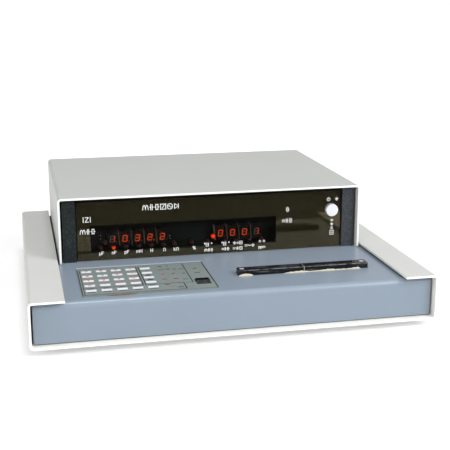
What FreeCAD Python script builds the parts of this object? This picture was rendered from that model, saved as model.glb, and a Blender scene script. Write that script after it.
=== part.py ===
import FreeCAD
import Part
import Sketcher
import os
import re

# A bench LCR meter: a low white wrap-round base with a blue-grey deck, a keypad and a two-jaw test
# fixture on the deck, and a raised white hood at the rear that holds a smoked display window.
# Frame: millimetres, +X right, +Y towards the rear, +Z up. The origin is on the surface the feet stand
# on, midway between the sides and between the front and rear edges of the wrap.
# A "setback" is a distance behind the wrap's front edge, and an "up" is a height above its underside.

DIMENSIONS = {
    # the whole instrument, and the sheet it is folded from
    "case_width": 375, "case_depth": 343, "case_height": 112, "gauge": 2, "bend": 1.8,
    "foot_height": 7, "foot_radius": 9, "foot_taper": 1.5, "foot_inset_x": 38, "foot_inset_y": 36,
    "foot_floor": 2, "foot_screw_radius": 1.55, "foot_screw_head": 3.3, "foot_screw_head_height": 1.8,
    "foot_hole": 2,
    # wrap: floor, sides and the wings along their tops; fixing tabs at the rear, vents in the floor
    "base_height": 43.2, "wing_width": 31.5, "tab_size": 12, "tab_setback": 331, "tab_hole": 1.25,
    "floor_vent_setback": 215, "floor_vent_pitch": 9, "floor_vent_length": 46, "floor_vent_count": 9,
    # hood
    "hood_width": 308, "hood_setback": 123, "hood_toe": 1.5,
    # deck, an upside-down tray with a rounded front edge
    "deck_up": 39, "deck_width": 368, "deck_gauge": 2, "deck_bend": 5, "deck_corner": 1.5,
    "deck_setback": 7, "deck_rear": 330, "deck_toe": 3, "deck_step": 124.5, "deck_step_clear": 0.3,
    # display: side trims, smoked window, mask, upright circuit board
    "trim_setback": 129, "trim_width": 13, "trim_gauge": 1.5, "mask_setback": 136, "mask_gauge": 1.5,
    "mask_width": 296, "window_width": 274, "window_gauge": 3, "window_height": 63.6,
    "view_left": -122.6, "view_right": 68.3, "view_low": 46.4, "view_high": 73.6,
    "board_gauge": 1.6, "display_board_setback": 146, "display_board_margin": 8,
    "display_board_height": 52, "display_board_lift": 1,
    # digit modules and round lamps on the display board
    "digit_width": 10.2, "digit_pitch": 12.6, "digit_height": 14, "digit_depth": 8, "digit_up": 58.4,
    "left_digit_x": -100.6, "right_digit_x": 9.9, "left_digit_count": 5, "right_digit_count": 4,
    "lamp_radius": 2, "lamp_length": 6.5, "lamp_up": 49.25, "sign_lamp_up": 54.8,
    # keypad: printed sheet, keys, their board, switches and lamps
    "overlay_left": -139.6, "overlay_right": -17, "overlay_front": 19, "overlay_rear": 102.6,
    "overlay_gauge": 0.9, "key_x": -131, "key_y": 33.3, "key_pitch_x": 14, "key_pitch_y": 14.5,
    "key_rows": 5, "key_columns": 5, "key_width": 9.6, "key_depth": 4.5, "key_gauge": 0.5, "key_lift": 0.7,
    "key_gap": 0.15, "key_corner": 0.6, "key_crown": 0.2, "stem_radius": 1.7, "stem_hole": 2,
    "stem_length": 4.5, "keypad_board_drop": 8, "keypad_board_margin": 2,
    "switch_size": 6, "switch_height": 3.5, "pad_lamp_radius": 1.1, "pad_lamp_clear": 0.2,
    # start button
    "start_x": -27.9, "start_y": 39.6, "start_width": 12.9, "start_depth": 14.4, "start_gap": 0.3,
    "start_drop": 3.5, "start_lift": 2.2, "start_slope": 1.3, "start_ridge": 0.8, "start_corner": 1.2,
    "start_rim": 0.4,
    "start_switch_width": 10, "start_switch_depth": 12, "start_switch_height": 2.2,
    # mains button, latched in as it is when the meter is on, and the switch it works
    "power_x": 126, "power_up": 78.6, "power_radius": 6.5, "power_hole": 6.9, "power_proud": 1,
    "power_length": 16.5, "power_edge": 0.6, "power_switch_size": 20, "power_switch_depth": 24,
    "power_switch_bore": 8, "tag_gauge": 0.8, "tag_length": 6, "tag_width": 4, "tag_reach": 5.5,
    # test fixture: jaws, guard plate, gasket, contact leaves and screws
    "fixture_x": 72.6, "fixture_y": 55.8, "fixture_length": 128, "fixture_depth": 11.4, "fixture_up": 5.3,
    "divider_gauge": 0.9, "divider_proud": 0.15, "gasket_gauge": 0.4, "gasket_lip": 0.5,
    "jaw_body_depth": 8, "jaw_body_drop": 10, "jaw_end": 8, "jaw_edge": 0.35, "jaw_clear": 0.2,
    "slot_width": 2.4, "slot_length": 49, "slot_depth": 12, "slot_shift": 0.8, "slot_start": 3,
    "slot_eye": 1.9, "slot_eye_depth": 1.2,
    "leaf_gauge": 0.4, "leaf_height": 9, "leaf_bow": 0.45, "leaf_bend": 2, "leaf_margin": 2,
    "jaw_screw_inset": 4.1, "jaw_screw_head": 2.3, "jaw_screw_head_height": 1.3, "jaw_screw_radius": 1.25,
    "jaw_screw_sink": 0.1, "jaw_screw_end": 1, "screw_clear": 0.25, "drive_width": 0.7, "drive_depth": 0.6,
    "nut_radius": 2.9, "nut_height": 2, "nut_clear": 0.05,
    # rear panel, its vents and pan-head screws
    "rear_setback": 333, "rear_gauge": 1.5, "rear_clear": 0.6, "rear_corner": 2.8,
    "vent_x": 20, "vent_pitch": 7, "vent_width": 3, "vent_height": 34, "vent_up": 72, "vent_count": 15,
    "pan_head": 2.3, "pan_head_skirt": 0.5, "pan_head_height": 1.3, "pan_radius": 1.25, "pan_end": 1,
    "cross_length": 3, "cross_width": 0.6, "cross_depth": 0.8,
    # mains inlet and fuse holder
    "inlet_x": -112, "inlet_up": 72, "inlet_flange_x": 50, "inlet_flange_z": 25, "inlet_flange": 2.6,
    "inlet_flange_corner": 6, "inlet_body_x": 28, "inlet_body_z": 20.4, "inlet_body_depth": 20,
    "inlet_clear": 0.3, "socket_x": 24.4, "socket_z": 16.6, "socket_depth": 17, "socket_corner": 4,
    "pin_x": 7, "pin_rise": 2, "pin_gauge": 2, "pin_height": 4, "pin_length": 15, "inlet_screw_inset": 5,
    "inlet_screw_end": 4,
    "fuse_x": -66, "fuse_up": 72, "fuse_radius": 6, "fuse_clear": 0.2, "fuse_flange": 8,
    "fuse_flange_gauge": 1.5, "fuse_cap": 6.6, "fuse_cap_taper": 0.6, "fuse_length": 26, "fuse_proud": 6,
    "fuse_slot": 1.4, "fuse_slot_depth": 1,
    # main board, chips and pillars
    "main_board_width": 330, "main_board_depth": 200, "main_board_setback": 115, "main_board_up": 10,
    "chip_width": 20, "chip_depth": 7.6, "chip_height": 3.6, "chip_rows": 4, "chip_columns": 6,
    "chip_pitch_x": 48, "chip_pitch_y": 40, "chip_margin_x": 40, "chip_margin_y": 36,
    "pillar_radius": 3, "pillar_inset": 8, "keypad_pillar_radius": 2.4, "keypad_pillar_inset": 5,
    "display_pillar_inset": 4, "display_pillar_low": 2, "display_pillar_high": 8,
    # mains parts on the deck inside the hood
    "transformer_x": 105, "transformer_setback": 255, "core_width": 62, "core_depth": 40,
    "core_height": 50, "coil_width": 38, "coil_depth": 56, "coil_height": 32,
    "core_foot_width": 84, "core_foot_depth": 24, "core_foot_gauge": 1.5,
    "capacitor_radius": 9, "capacitor_height": 34, "capacitor_x": 38, "capacitor_setback": 270,
    "capacitor_pitch": 21, "capacitor_count": 3,
    "sink_x": 10, "sink_setback": 308, "sink_width": 90, "sink_height": 40, "sink_base": 3,
    "sink_fin": 12, "sink_fin_gauge": 1.6, "sink_fin_count": 9,
    # flat cables and the deck slot one of them drops through
    "ribbon_gauge": 1, "ribbon_width": 32, "ribbon_x": -60, "ribbon_rise": 16, "ribbon_drop": 8,
    "ribbon_fall": 6, "ribbon_inset": 12, "cable_slot_width": 40, "cable_slot_depth": 6,
    "cable_slot_setback": 160,
}
# eight unit lamps stand under the left digits and five range lamps under the right ones
UNIT_LAMPS = (-112.3, -99.4, -86.7, -73.7, -61.2, -48.1, -37.4, -19.3)
RANGE_LAMPS = (-2.8, 15, 27.9, 40.7, 53.6)
SIGN_LAMPS = (-107.9, 2.6)
# keypad lamps: two columns of four, and a lone one, as x and setback
PAD_LAMPS = [(x, y) for x in (-61, -51) for y in (88.8, 75, 60.5, 47)] + [(-61.5, 31.7)]

doc = FreeCAD.newDocument("lcr_meter")
NODES = []


def make_sheet():
    """Writes every driving dimension to the sheet, one row each, named by its alias."""
    sheet = doc.addObject("Spreadsheet::Sheet", "dims")
    for row, (name, value) in enumerate(DIMENSIONS.items(), start=1):
        sheet.set(f"A{row}", name)
        sheet.set(f"B{row}", str(value))
        sheet.setAlias(f"B{row}", name)
    doc.recompute()


def bound(text):
    """An expression over the sheet: every dimension's name gets the sheet's own name in front."""
    return re.sub(r"[a-z_]+", lambda m: "dims." + m[0] if m[0] in DIMENSIONS else m[0], str(text))


def value_of(text):
    """The present value of an expression over the sheet."""
    value = doc.getObject("dims").evalExpression(bound(text))
    return float(getattr(value, "Value", value))


def bind(item, **values):
    """Binds properties to expressions. A double underscore stands for a dot in a property's path."""
    for path, text in values.items():
        item.setExpression(path.replace("__", "."), bound(text))
    return item


def setback(distance):
    """The Y of a plane this far behind the wrap's front edge."""
    return f"(({distance}) - case_depth / 2)"


def up(height):
    """The Z of a plane this far above the wrap's underside."""
    return f"(({height}) + foot_height)"


def node(item, label):
    """Names an object as one sub-part of the instrument."""
    item.Label = label
    NODES.append(item)
    return item


# ---- Part primitives ----

def put(item, at):
    return bind(item, Placement__Base__x=at[0], Placement__Base__y=at[1], Placement__Base__z=at[2])


def box(name, size, at):
    """A box from its lowest corner."""
    item = doc.addObject("Part::Box", name)
    return put(bind(item, Length=size[0], Width=size[1], Height=size[2]), at)


def centred_box(name, size, at):
    """A box from the middle of its footprint."""
    return box(name, size, (f"{at[0]} - ({size[0]}) / 2", f"{at[1]} - ({size[1]}) / 2", at[2]))


TURN = {"X": ((0, 1, 0), 90), "Y": ((1, 0, 0), -90), "Z": ((0, 0, 1), 0)}


def turned(item, at, axis):
    """Starts a round solid at a point, with its own axis along +X, +Y or +Z."""
    direction, angle = TURN[axis]
    item.Placement.Rotation = FreeCAD.Rotation(FreeCAD.Vector(*direction), angle)
    return put(item, at)


def cylinder(name, radius, length, at, axis="Z"):
    item = bind(doc.addObject("Part::Cylinder", name), Radius=radius, Height=length)
    return turned(item, at, axis)


def cone(name, radius_low, radius_high, length, at, axis="Z"):
    item = bind(doc.addObject("Part::Cone", name), Radius1=radius_low, Radius2=radius_high, Height=length)
    return turned(item, at, axis)


def ball(name, radius, at):
    return put(bind(doc.addObject("Part::Sphere", name), Radius=radius), at)


def fuse(name, *pieces):
    item = doc.addObject("Part::MultiFuse", name)
    item.Shapes = list(pieces)
    return item


def group(name, pieces):
    """Several separate solids as one object."""
    item = doc.addObject("Part::Compound", name)
    item.Links = list(pieces)
    return item


def cut(name, base, *tools):
    item = doc.addObject("Part::Cut", name)
    item.Base = base
    item.Tool = tools[0] if len(tools) == 1 else group(name + "_tools", tools)
    return item


# ---- sketches and PartDesign features ----

def new_body(name):
    return doc.addObject("PartDesign::Body", name)


def sketch(body, name, plane, offset="0"):
    """A sketch parallel to one of the body's origin planes, at a height along +X, +Y or +Z."""
    item = body.newObject("Sketcher::SketchObject", name)
    origin_plane = next(f for f in body.Origin.OriginFeatures if f.Role == plane + "_Plane")
    item.AttachmentSupport = (origin_plane, [""])
    item.MapMode = "FlatFace"
    # the XZ plane's normal is -Y
    return bind(item, AttachmentOffset__Base__z=f"-({offset})" if plane == "XZ" else offset)


def drawn(point):
    """Where a point of a sketch is first drawn."""
    return FreeCAD.Vector(value_of(point[0]), value_of(point[1]), 0)


def hold_point(item, geometry, end, point):
    """Ties one point of a sketch's geometry to a pair of expressions."""
    for kind, text in zip(("DistanceX", "DistanceY"), point):
        number = item.addConstraint(Sketcher.Constraint(kind, geometry, end, value_of(text)))
        item.setExpression(f"Constraints[{number}]", bound(text))


def outline(item, points):
    """A closed polygon in a sketch, each corner held by its two coordinates."""
    first, count = item.GeometryCount, len(points)
    for i in range(count):
        item.addGeometry(Part.LineSegment(drawn(points[i]), drawn(points[(i + 1) % count])), False)
    for i in range(count):
        after = first + (i + 1) % count
        item.addConstraint(Sketcher.Constraint("Coincident", first + i, 2, after, 1))
    for i, point in enumerate(points):
        hold_point(item, first + i, 1, point)


def rectangle(item, low, high):
    outline(item, [low, (high[0], low[1]), high, (low[0], high[1])])


def rectangle_about(item, centre, size):
    low, high = ([f"{c} {sign} ({s}) / 2" for c, s in zip(centre, size)] for sign in "-+")
    rectangle(item, low, high)


def circle(item, centre, radius):
    number = item.addGeometry(
        Part.Circle(drawn(centre), FreeCAD.Vector(0, 0, 1), value_of(radius)), False)
    hold_point(item, number, 3, centre)
    size = item.addConstraint(Sketcher.Constraint("Radius", number, value_of(radius)))
    item.setExpression(f"Constraints[{size}]", bound(radius))


def pad(body, profile, length, both_ways=False, backwards=False):
    item = body.newObject("PartDesign::Pad", profile.Name + "_pad")
    item.Profile = profile
    item.SideType = "Symmetric" if both_ways else "One side"
    item.Reversed = backwards
    bind(item, Length=length)
    doc.recompute()
    return item


def pocket(body, profile, depth=None, backwards=False):
    """Cuts the profile to a depth against the sketch's normal, or right through both ways."""
    before = body.Shape.Volume
    item = body.newObject("PartDesign::Pocket", profile.Name + "_cut")
    item.Profile = profile
    item.Reversed = backwards
    if depth is None:
        item.Type = "ThroughAll"
        item.SideType = "Symmetric"
    else:
        bind(item, Length=depth)
    doc.recompute()
    require(body.Shape.Volume < before, f"{item.Name} cut nothing")
    return item


def require(true, message):
    if not true:
        raise RuntimeError(message)


def row_of(body, profile, axis, pitch, count, name):
    """One direction of a pattern, along an axis of a sketch."""
    item = body.newObject("PartDesign::LinearPattern", name)
    item.Direction = (profile, [axis])
    return bind(item, Length=f"{pitch} * ({count} - 1)", Occurrences=count)


def repeat(body, feature, profile, axis, pitch, count):
    """A row of one feature. It counts once it is the body's tip."""
    before = body.Shape.Volume
    item = row_of(body, profile, axis, pitch, count, feature.Name + "_row")
    item.Originals = [feature]
    body.Tip = item
    doc.recompute()
    require(body.Shape.Volume != before, f"{item.Name} repeated nothing")


def fillet(body, radius, wanted, name):
    """Rounds the edges of the body that a test picks."""
    tip = body.Tip
    chosen = [f"Edge{i}" for i, edge in enumerate(tip.Shape.Edges, start=1) if wanted(edge)]
    require(chosen, f"{name} found no edges")
    item = body.newObject("PartDesign::Fillet", name)
    item.Base = (tip, chosen)
    bind(item, Radius=radius)
    doc.recompute()


def runs(edge, axis):
    """True for a straight edge along an axis."""
    straight = edge.Curve.TypeId == "Part::GeomLine"
    return straight and abs(getattr(edge.Curve.Direction, axis)) > 0.999


def near(value, text, both_sides=False):
    wanted = value_of(text)
    return abs(value - wanted) < 0.01 or (both_sides and abs(value + wanted) < 0.01)


def lies(edge, **places):
    """True if both ends of an edge have these coordinates."""
    return all(near(getattr(v.Point, axis), text) for v in edge.Vertexes for axis, text in places.items())


def corner(edge, direction, **places):
    """True for an edge along an axis at one of the listed places, on either side of the middle."""
    if not runs(edge, direction):
        return False
    point = edge.Vertexes[0].Point
    return all(any(near(getattr(point, axis), text, both_sides=axis == "x") for text in texts)
               for axis, texts in places.items())


# ---- places that several sub-parts share ----

WRAP_TOP = up("base_height")
DECK_TOP = up("deck_up")
HOOD_INSIDE = "(hood_width / 2 - gauge)"
WRAP_INSIDE = "(case_width / 2 - gauge)"
FIXTURE_TOP = f"({DECK_TOP} + fixture_up)"
SLOT_LINE = f"({setback('fixture_y')} + slot_shift)"
START_PLACE = ("start_x", setback("start_y"))
START_WINDOW = ("start_width + 2 * start_gap", "start_depth + 2 * start_gap")
FIXTURE_PLACE = ("fixture_x", setback("fixture_y"))
JAW_WINDOW = ("fixture_length - 2 * jaw_end + 2 * jaw_clear", "jaw_body_depth + 2 * jaw_clear")
SIDES = (("left", "-"), ("right", "+"))


def foot_places():
    return [(f"{sign_x} (case_width / 2 - foot_inset_x)", f"{sign_y} (case_depth / 2 - foot_inset_y)")
            for sign_x in "-+" for sign_y in "-+"]


def rear_screw_places():
    """X and Z of the screws that hold the rear panel: two in the wrap's tabs and two in the hood's."""
    low, high = f"{up('gauge')} + tab_size / 2", "case_height - gauge - tab_size / 2"
    return [(f"{sign} ({edge} - tab_size / 2)", height) for edge, height in ((WRAP_INSIDE, low),
            (HOOD_INSIDE, high)) for sign in "-+"]


def inlet_screw_places():
    return [(f"inlet_x {sign} (inlet_flange_x / 2 - inlet_screw_inset)", up("inlet_up")) for sign in "-+"]


def jaw_screw_places():
    return [(side, f"fixture_x {sign} (fixture_length / 2 - jaw_screw_inset)", SLOT_LINE)
            for side, sign in SIDES]


def key_places():
    """Name and place of each key. Row 1 is the rearmost, and column 1 the leftmost."""
    for row in range(DIMENSIONS["key_rows"]):
        for column in range(DIMENSIONS["key_columns"]):
            y = setback(f"key_y + (key_rows - 1 - {row}) * key_pitch_y")
            yield f"key_row{row + 1}_col{column + 1}", f"key_x + {column} * key_pitch_x", y


def pad_lamp_places():
    return [(str(x), setback(y)) for x, y in PAD_LAMPS]


def with_tabs(body, low, inside):
    """Adds the two drilled tabs that the rear panel screws to, inside a folded sheet."""
    tabs, holes = [], []
    for side, sign in SIDES:
        name, middle = f"{body.Name}_tab_{side}", f"{sign} ({inside} - tab_size / 2)"
        tabs.append(box(name, ("tab_size", "gauge", "tab_size"),
                        (f"{middle} - tab_size / 2", setback("tab_setback"), low)))
        holes.append(cylinder(name + "_hole", "tab_hole", "gauge * 3",
                              (middle, setback("tab_setback - gauge"), f"{low} + tab_size / 2"), "Y"))
    return cut(body.Name + "_drilled", fuse(body.Name + "_with_tabs", body, *tabs), *holes)


# ---- the enclosure ----

def base_wrap():
    """One folded sheet: floor, two sides and a wing turned inwards along the top of each side."""
    body = new_body("wrap")
    out, tip = "case_width / 2", "case_width / 2 - wing_width"
    low, high = "foot_height", WRAP_TOP
    inner_low, inner_high = up("gauge"), f"{high} - gauge"
    right = [(out, low), (out, high), (tip, high), (tip, inner_high),
             (WRAP_INSIDE, inner_high), (WRAP_INSIDE, inner_low)]
    profile = sketch(body, "wrap_profile", "XZ")
    outline(profile, right + [(f"-({x})", z) for x, z in reversed(right)])
    pad(body, profile, "case_depth", both_ways=True)
    fillet(body, "bend + gauge", lambda e: corner(e, "y", x=[out], z=[low, high]), "wrap_outer_bends")
    fillet(body, "bend", lambda e: corner(e, "y", x=[WRAP_INSIDE], z=[inner_low, inner_high]),
           "wrap_inner_bends")
    vent = sketch(body, "wrap_vent", "XY")
    rectangle(vent, ("-floor_vent_length / 2", setback("floor_vent_setback")),
              ("floor_vent_length / 2", setback("floor_vent_setback + vent_width")))
    repeat(body, pocket(body, vent), vent, "V_Axis", "floor_vent_pitch", "floor_vent_count")
    holes = sketch(body, "wrap_foot_holes", "XY")
    for place in foot_places():
        circle(holes, place, "foot_hole")
    pocket(body, holes)
    node(with_tabs(body, up("gauge"), WRAP_INSIDE), "base_wrap")


def deck_cover():
    """The upside-down tray between the wings, narrower under the hood, with its openings."""
    body = new_body("deck")
    side, low, front = "deck_width / 2", up("deck_toe"), setback("deck_setback")
    plan = sketch(body, "deck_plan", "XY", low)
    rectangle(plan, (f"-{side}", front), (side, setback("deck_rear")))
    pad(body, plan, "deck_up - deck_toe")
    fillet(body, "deck_bend", lambda e: runs(e, "x") and lies(e, y=front, z=DECK_TOP), "deck_front_bend")
    fillet(body, "deck_corner", lambda e: corner(e, "z", x=[side], y=[front])
           or corner(e, "y", x=[side], z=[DECK_TOP]), "deck_side_bends")
    hollow = sketch(body, "deck_hollow", "XY", low)
    rectangle(hollow, ("-(deck_width / 2 - deck_gauge)", setback("deck_setback + deck_gauge")),
              ("deck_width / 2 - deck_gauge", setback("deck_rear + deck_gauge")))
    pocket(body, hollow, "deck_up - deck_toe - deck_gauge", backwards=True)
    steps = sketch(body, "deck_steps", "XY", low)
    inner, outer = "hood_width / 2 + deck_step_clear", "deck_width"
    front, rear = setback("deck_step"), setback("deck_rear + deck_gauge")
    rectangle(steps, (inner, front), (outer, rear))
    rectangle(steps, (f"-({outer})", front), (f"-({inner})", rear))
    pocket(body, steps)
    openings = sketch(body, "deck_openings", "XY", DECK_TOP)
    rectangle_about(openings, START_PLACE, START_WINDOW)
    rectangle_about(openings, FIXTURE_PLACE, JAW_WINDOW)
    rectangle(openings, ("ribbon_x - cable_slot_width / 2", setback("cable_slot_setback")),
              ("ribbon_x + cable_slot_width / 2", setback("cable_slot_setback + cable_slot_depth")))
    for place in pad_lamp_places():
        circle(openings, place, "pad_lamp_radius + pad_lamp_clear")
    for _, x, y in jaw_screw_places():
        circle(openings, (x, y), "jaw_screw_radius + screw_clear")
    pocket(body, openings, "deck_gauge + deck_bend")
    stem = sketch(body, "deck_stem_hole", "XY", DECK_TOP)
    circle(stem, ("key_x", setback("key_y")), "stem_hole")
    first = pocket(body, stem, "deck_gauge + deck_bend")
    lattice = body.newObject("PartDesign::MultiTransform", "deck_stem_holes")
    lattice.Originals = [first]
    lattice.Transformations = [
        row_of(body, stem, "H_Axis", "key_pitch_x", "key_columns", "deck_stem_columns"),
        row_of(body, stem, "V_Axis", "key_pitch_y", "key_rows", "deck_stem_rows")]
    body.Tip = lattice
    node(body, "deck_cover")


def display_hood():
    """One folded sheet over the display: a top and two sides standing on the deck."""
    body = new_body("hood")
    out, high, inner_high = "hood_width / 2", "case_height", "case_height - gauge"
    right = [(HOOD_INSIDE, DECK_TOP), (out, DECK_TOP), (out, high)]
    left = [(f"-({x})", z) for x, z in reversed(right)]
    profile = sketch(body, "hood_profile", "XZ", "hood_setback / 2")
    outline(profile, right + left + [(f"-{HOOD_INSIDE}", inner_high), (HOOD_INSIDE, inner_high)])
    pad(body, profile, "case_depth - hood_setback", both_ways=True)
    fillet(body, "bend + gauge", lambda e: corner(e, "y", x=[out], z=[high]), "hood_outer_bends")
    fillet(body, "bend", lambda e: corner(e, "y", x=[HOOD_INSIDE], z=[inner_high]), "hood_inner_bends")
    fillet(body, "hood_toe", lambda e: runs(e, "x") and lies(e, y=setback("hood_setback"), z=DECK_TOP),
           "hood_toes")
    node(with_tabs(body, "case_height - gauge - tab_size", HOOD_INSIDE), "display_hood")


def rear_panel():
    """The back plate: wide between the wrap's sides and narrower inside the hood."""
    body = new_body("rear")
    wide, narrow = f"{WRAP_INSIDE} - rear_clear", f"{HOOD_INSIDE} - rear_clear"
    low, high = up("gauge + rear_clear"), "case_height - gauge - rear_clear"
    step = f"{DECK_TOP} - rear_clear"
    right = [(wide, low), (wide, step), (narrow, step), (narrow, high)]
    plate = sketch(body, "rear_outline", "XZ", setback("rear_setback"))
    outline(plate, right + [(f"-({x})", z) for x, z in reversed(right)])
    pad(body, plate, "rear_gauge", backwards=True)
    fillet(body, "rear_corner", lambda e: corner(e, "y", x=[wide, narrow], z=[low, high]), "rear_corners")
    vent = sketch(body, "rear_vent", "XZ", setback("rear_setback"))
    rectangle(vent, ("vent_x", up("vent_up - vent_height / 2")),
              ("vent_x + vent_width", up("vent_up + vent_height / 2")))
    repeat(body, pocket(body, vent), vent, "H_Axis", "vent_pitch", "vent_count")
    openings = sketch(body, "rear_openings", "XZ", setback("rear_setback"))
    rectangle_about(openings, ("inlet_x", up("inlet_up")),
                    ("inlet_body_x + 2 * inlet_clear", "inlet_body_z + 2 * inlet_clear"))
    circle(openings, ("fuse_x", up("fuse_up")), "fuse_radius + fuse_clear")
    for place in rear_screw_places() + inlet_screw_places():
        circle(openings, place, "pan_radius + screw_clear")
    pocket(body, openings)
    node(body, "rear_panel")


def pan_screw(name, place, face, length):
    """A pan-head screw with a cross recess. Its head stands on a face and its shank points forwards."""
    x, z = place
    head = cone(name + "_head", "pan_head + pan_head_skirt", "pan_head", "pan_head_height", (x, face, z), "Y")
    shank = cylinder(name + "_shank", "pan_radius", length, (x, f"{face} - ({length})", z), "Y")
    floor = f"{face} + pan_head_height - cross_depth"
    cross = []
    for wide, tall in (("cross_length", "cross_width"), ("cross_width", "cross_length")):
        low = (f"{x} - {wide} / 2", floor, f"{z} - {tall} / 2")
        cross.append(box(f"{name}_{wide}", (wide, "pan_head_height", tall), low))
    return cut(name, fuse(name + "_blank", head, shank), *cross)


def panel_screws():
    """Four screws that hold the rear panel to the tabs, and two that hold the mains inlet."""
    face = setback("rear_setback + rear_gauge")
    screws = [pan_screw(f"rear_screw_{i}", place, face, "rear_gauge + gauge + pan_end")
              for i, place in enumerate(rear_screw_places())]
    face = setback("rear_setback + rear_gauge + inlet_flange")
    length = "rear_gauge + inlet_flange + inlet_screw_end"
    screws += [pan_screw(f"inlet_screw_{i}", place, face, length)
               for i, place in enumerate(inlet_screw_places())]
    node(group("rear_screws", screws), "panel_screws")


def feet():
    """Four tapered rubber feet, each with a blind hole for the screw that comes down into it."""
    made = []
    for i, (x, y) in enumerate(foot_places()):
        blank = cone(f"foot_blank_{i}", "foot_radius - foot_taper", "foot_radius", "foot_height", (x, y, "0"))
        hole = cylinder(f"foot_hole_{i}", "foot_screw_radius", "foot_height", (x, y, "foot_floor"))
        made.append(cut(f"foot_{i}", blank, hole))
    node(group("foot_group", made), "feet")


def foot_screws():
    """The screws that hold the feet, their heads on the wrap's floor inside."""
    made = []
    for i, (x, y) in enumerate(foot_places()):
        head = cylinder(f"foot_screw_head_{i}", "foot_screw_head", "foot_screw_head_height",
                        (x, y, up("gauge")))
        shank = cylinder(f"foot_screw_shank_{i}", "foot_screw_radius", f"{up('gauge')} - foot_floor",
                         (x, y, "foot_floor"))
        made.append(fuse(f"foot_screw_{i}", head, shank))
    node(group("foot_screw_group", made), "foot_screws")


# ---- the display ----

def display_side_trims():
    """The two strips beside the window, each folded back along the window's edge."""
    made = []
    fold_depth = "mask_setback - trim_setback"
    for side, x, fold_x in (("left", "-(window_width / 2 + trim_width)", "-(window_width / 2 + trim_gauge)"),
                            ("right", "window_width / 2", "window_width / 2")):
        face = box(f"trim_{side}_face", ("trim_width", "trim_gauge", "window_height"),
                   (x, setback("trim_setback"), DECK_TOP))
        fold = box(f"trim_{side}_fold", ("trim_gauge", fold_depth, "window_height"),
                   (fold_x, setback("trim_setback"), DECK_TOP))
        made.append(fuse(f"trim_{side}", face, fold))
    node(group("trims", made), "display_side_trims")


def display_window():
    """The smoked sheet between the trims, drilled for the mains button."""
    sheet = box("window_sheet", ("window_width", "window_gauge", "window_height"),
                ("-window_width / 2", setback("trim_setback"), DECK_TOP))
    hole = cylinder("window_hole", "power_hole", "window_gauge * 3",
                    ("power_x", setback("trim_setback - window_gauge"), up("power_up")), "Y")
    node(cut("window_drilled", sheet, hole), "display_window")


def display_mask():
    """The painted plate behind the window, open where the digits and lamps show."""
    before = setback("mask_setback - mask_gauge")
    plate = box("mask_plate", ("mask_width", "mask_gauge", "window_height"),
                ("-mask_width / 2", setback("mask_setback"), DECK_TOP))
    view = box("mask_view", ("view_right - view_left", "mask_gauge * 3", "view_high - view_low"),
               ("view_left", before, up("view_low")))
    hole = cylinder("mask_hole", "power_hole", "mask_gauge * 3", ("power_x", before, up("power_up")), "Y")
    node(cut("mask_open", plate, view, hole), "display_mask")


def display_board():
    """The upright circuit board that carries the digits and lamps."""
    size = ("view_right - view_left + 2 * display_board_margin", "board_gauge", "display_board_height")
    at = ("view_left - display_board_margin", setback("display_board_setback"),
          up("deck_up + display_board_lift"))
    node(box("display_board_blank", size, at), "display_board")


def digit_displays():
    """The one-digit modules: a group on the left and a group on the right."""
    made = []
    size = ("digit_width", "digit_depth", "digit_height")
    front, low = setback("display_board_setback - digit_depth"), up("digit_up - digit_height / 2")
    for side, first, count in (("left", "left_digit_x", "left_digit_count"),
                               ("right", "right_digit_x", "right_digit_count")):
        for i in range(DIMENSIONS[count]):
            x = f"{first} + {i} * digit_pitch - digit_width / 2"
            made.append(box(f"{side}_digit_{i}", size, (x, front, low)))
    node(group("digits", made), "digit_displays")


def indicator_leds():
    """Round-nosed lamps on the display board: units, ranges and the two signs."""
    lamps = [(x, "lamp_up") for x in UNIT_LAMPS + RANGE_LAMPS] + [(x, "sign_lamp_up") for x in SIGN_LAMPS]
    made = []
    for i, (x, height) in enumerate(lamps):
        nose_at = (x, setback("display_board_setback - lamp_length"), up(height))
        barrel = cylinder(f"lamp_{i}_barrel", "lamp_radius", "lamp_length", nose_at, "Y")
        made.append(fuse(f"lamp_{i}", barrel, ball(f"lamp_{i}_nose", "lamp_radius", nose_at)))
    node(group("lamps", made), "indicator_leds")


# ---- the keypad ----

def keypad_overlay():
    """The printed sheet on the deck, with a window for each key and lamp and for the start button."""
    body = new_body("overlay")
    blank = sketch(body, "overlay_outline", "XY", DECK_TOP)
    rectangle(blank, ("overlay_left", setback("overlay_front")), ("overlay_right", setback("overlay_rear")))
    pad(body, blank, "overlay_gauge")
    windows = sketch(body, "overlay_windows", "XY", DECK_TOP)
    for _, x, y in key_places():
        rectangle_about(windows, (x, y), ("key_width + 2 * key_gap", "key_depth + 2 * key_gap"))
    rectangle_about(windows, START_PLACE, START_WINDOW)
    for place in pad_lamp_places():
        circle(windows, place, "pad_lamp_radius + pad_lamp_clear")
    pocket(body, windows)
    node(body, "keypad_overlay")


def keys():
    """Each key is a slightly crowned pad on a round stem that reaches its switch."""
    under, top = f"{DECK_TOP} + key_lift", f"{DECK_TOP} + key_lift + key_gauge"
    for name, x, y in key_places():
        body = new_body(name + "_body")
        stem = sketch(body, name + "_stem", "XY", f"{under} - stem_length")
        circle(stem, (x, y), "stem_radius")
        pad(body, stem, "stem_length")
        cap = sketch(body, name + "_cap", "XY", under)
        rectangle_about(cap, (x, y), ("key_width", "key_depth"))
        pad(body, cap, "key_gauge")
        fillet(body, "key_corner", lambda e: runs(e, "z") and near(e.BoundBox.ZMax, top), name + "_corners")
        fillet(body, "key_crown", lambda e: lies(e, z=top), name + "_crown")
        node(body, name)


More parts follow.
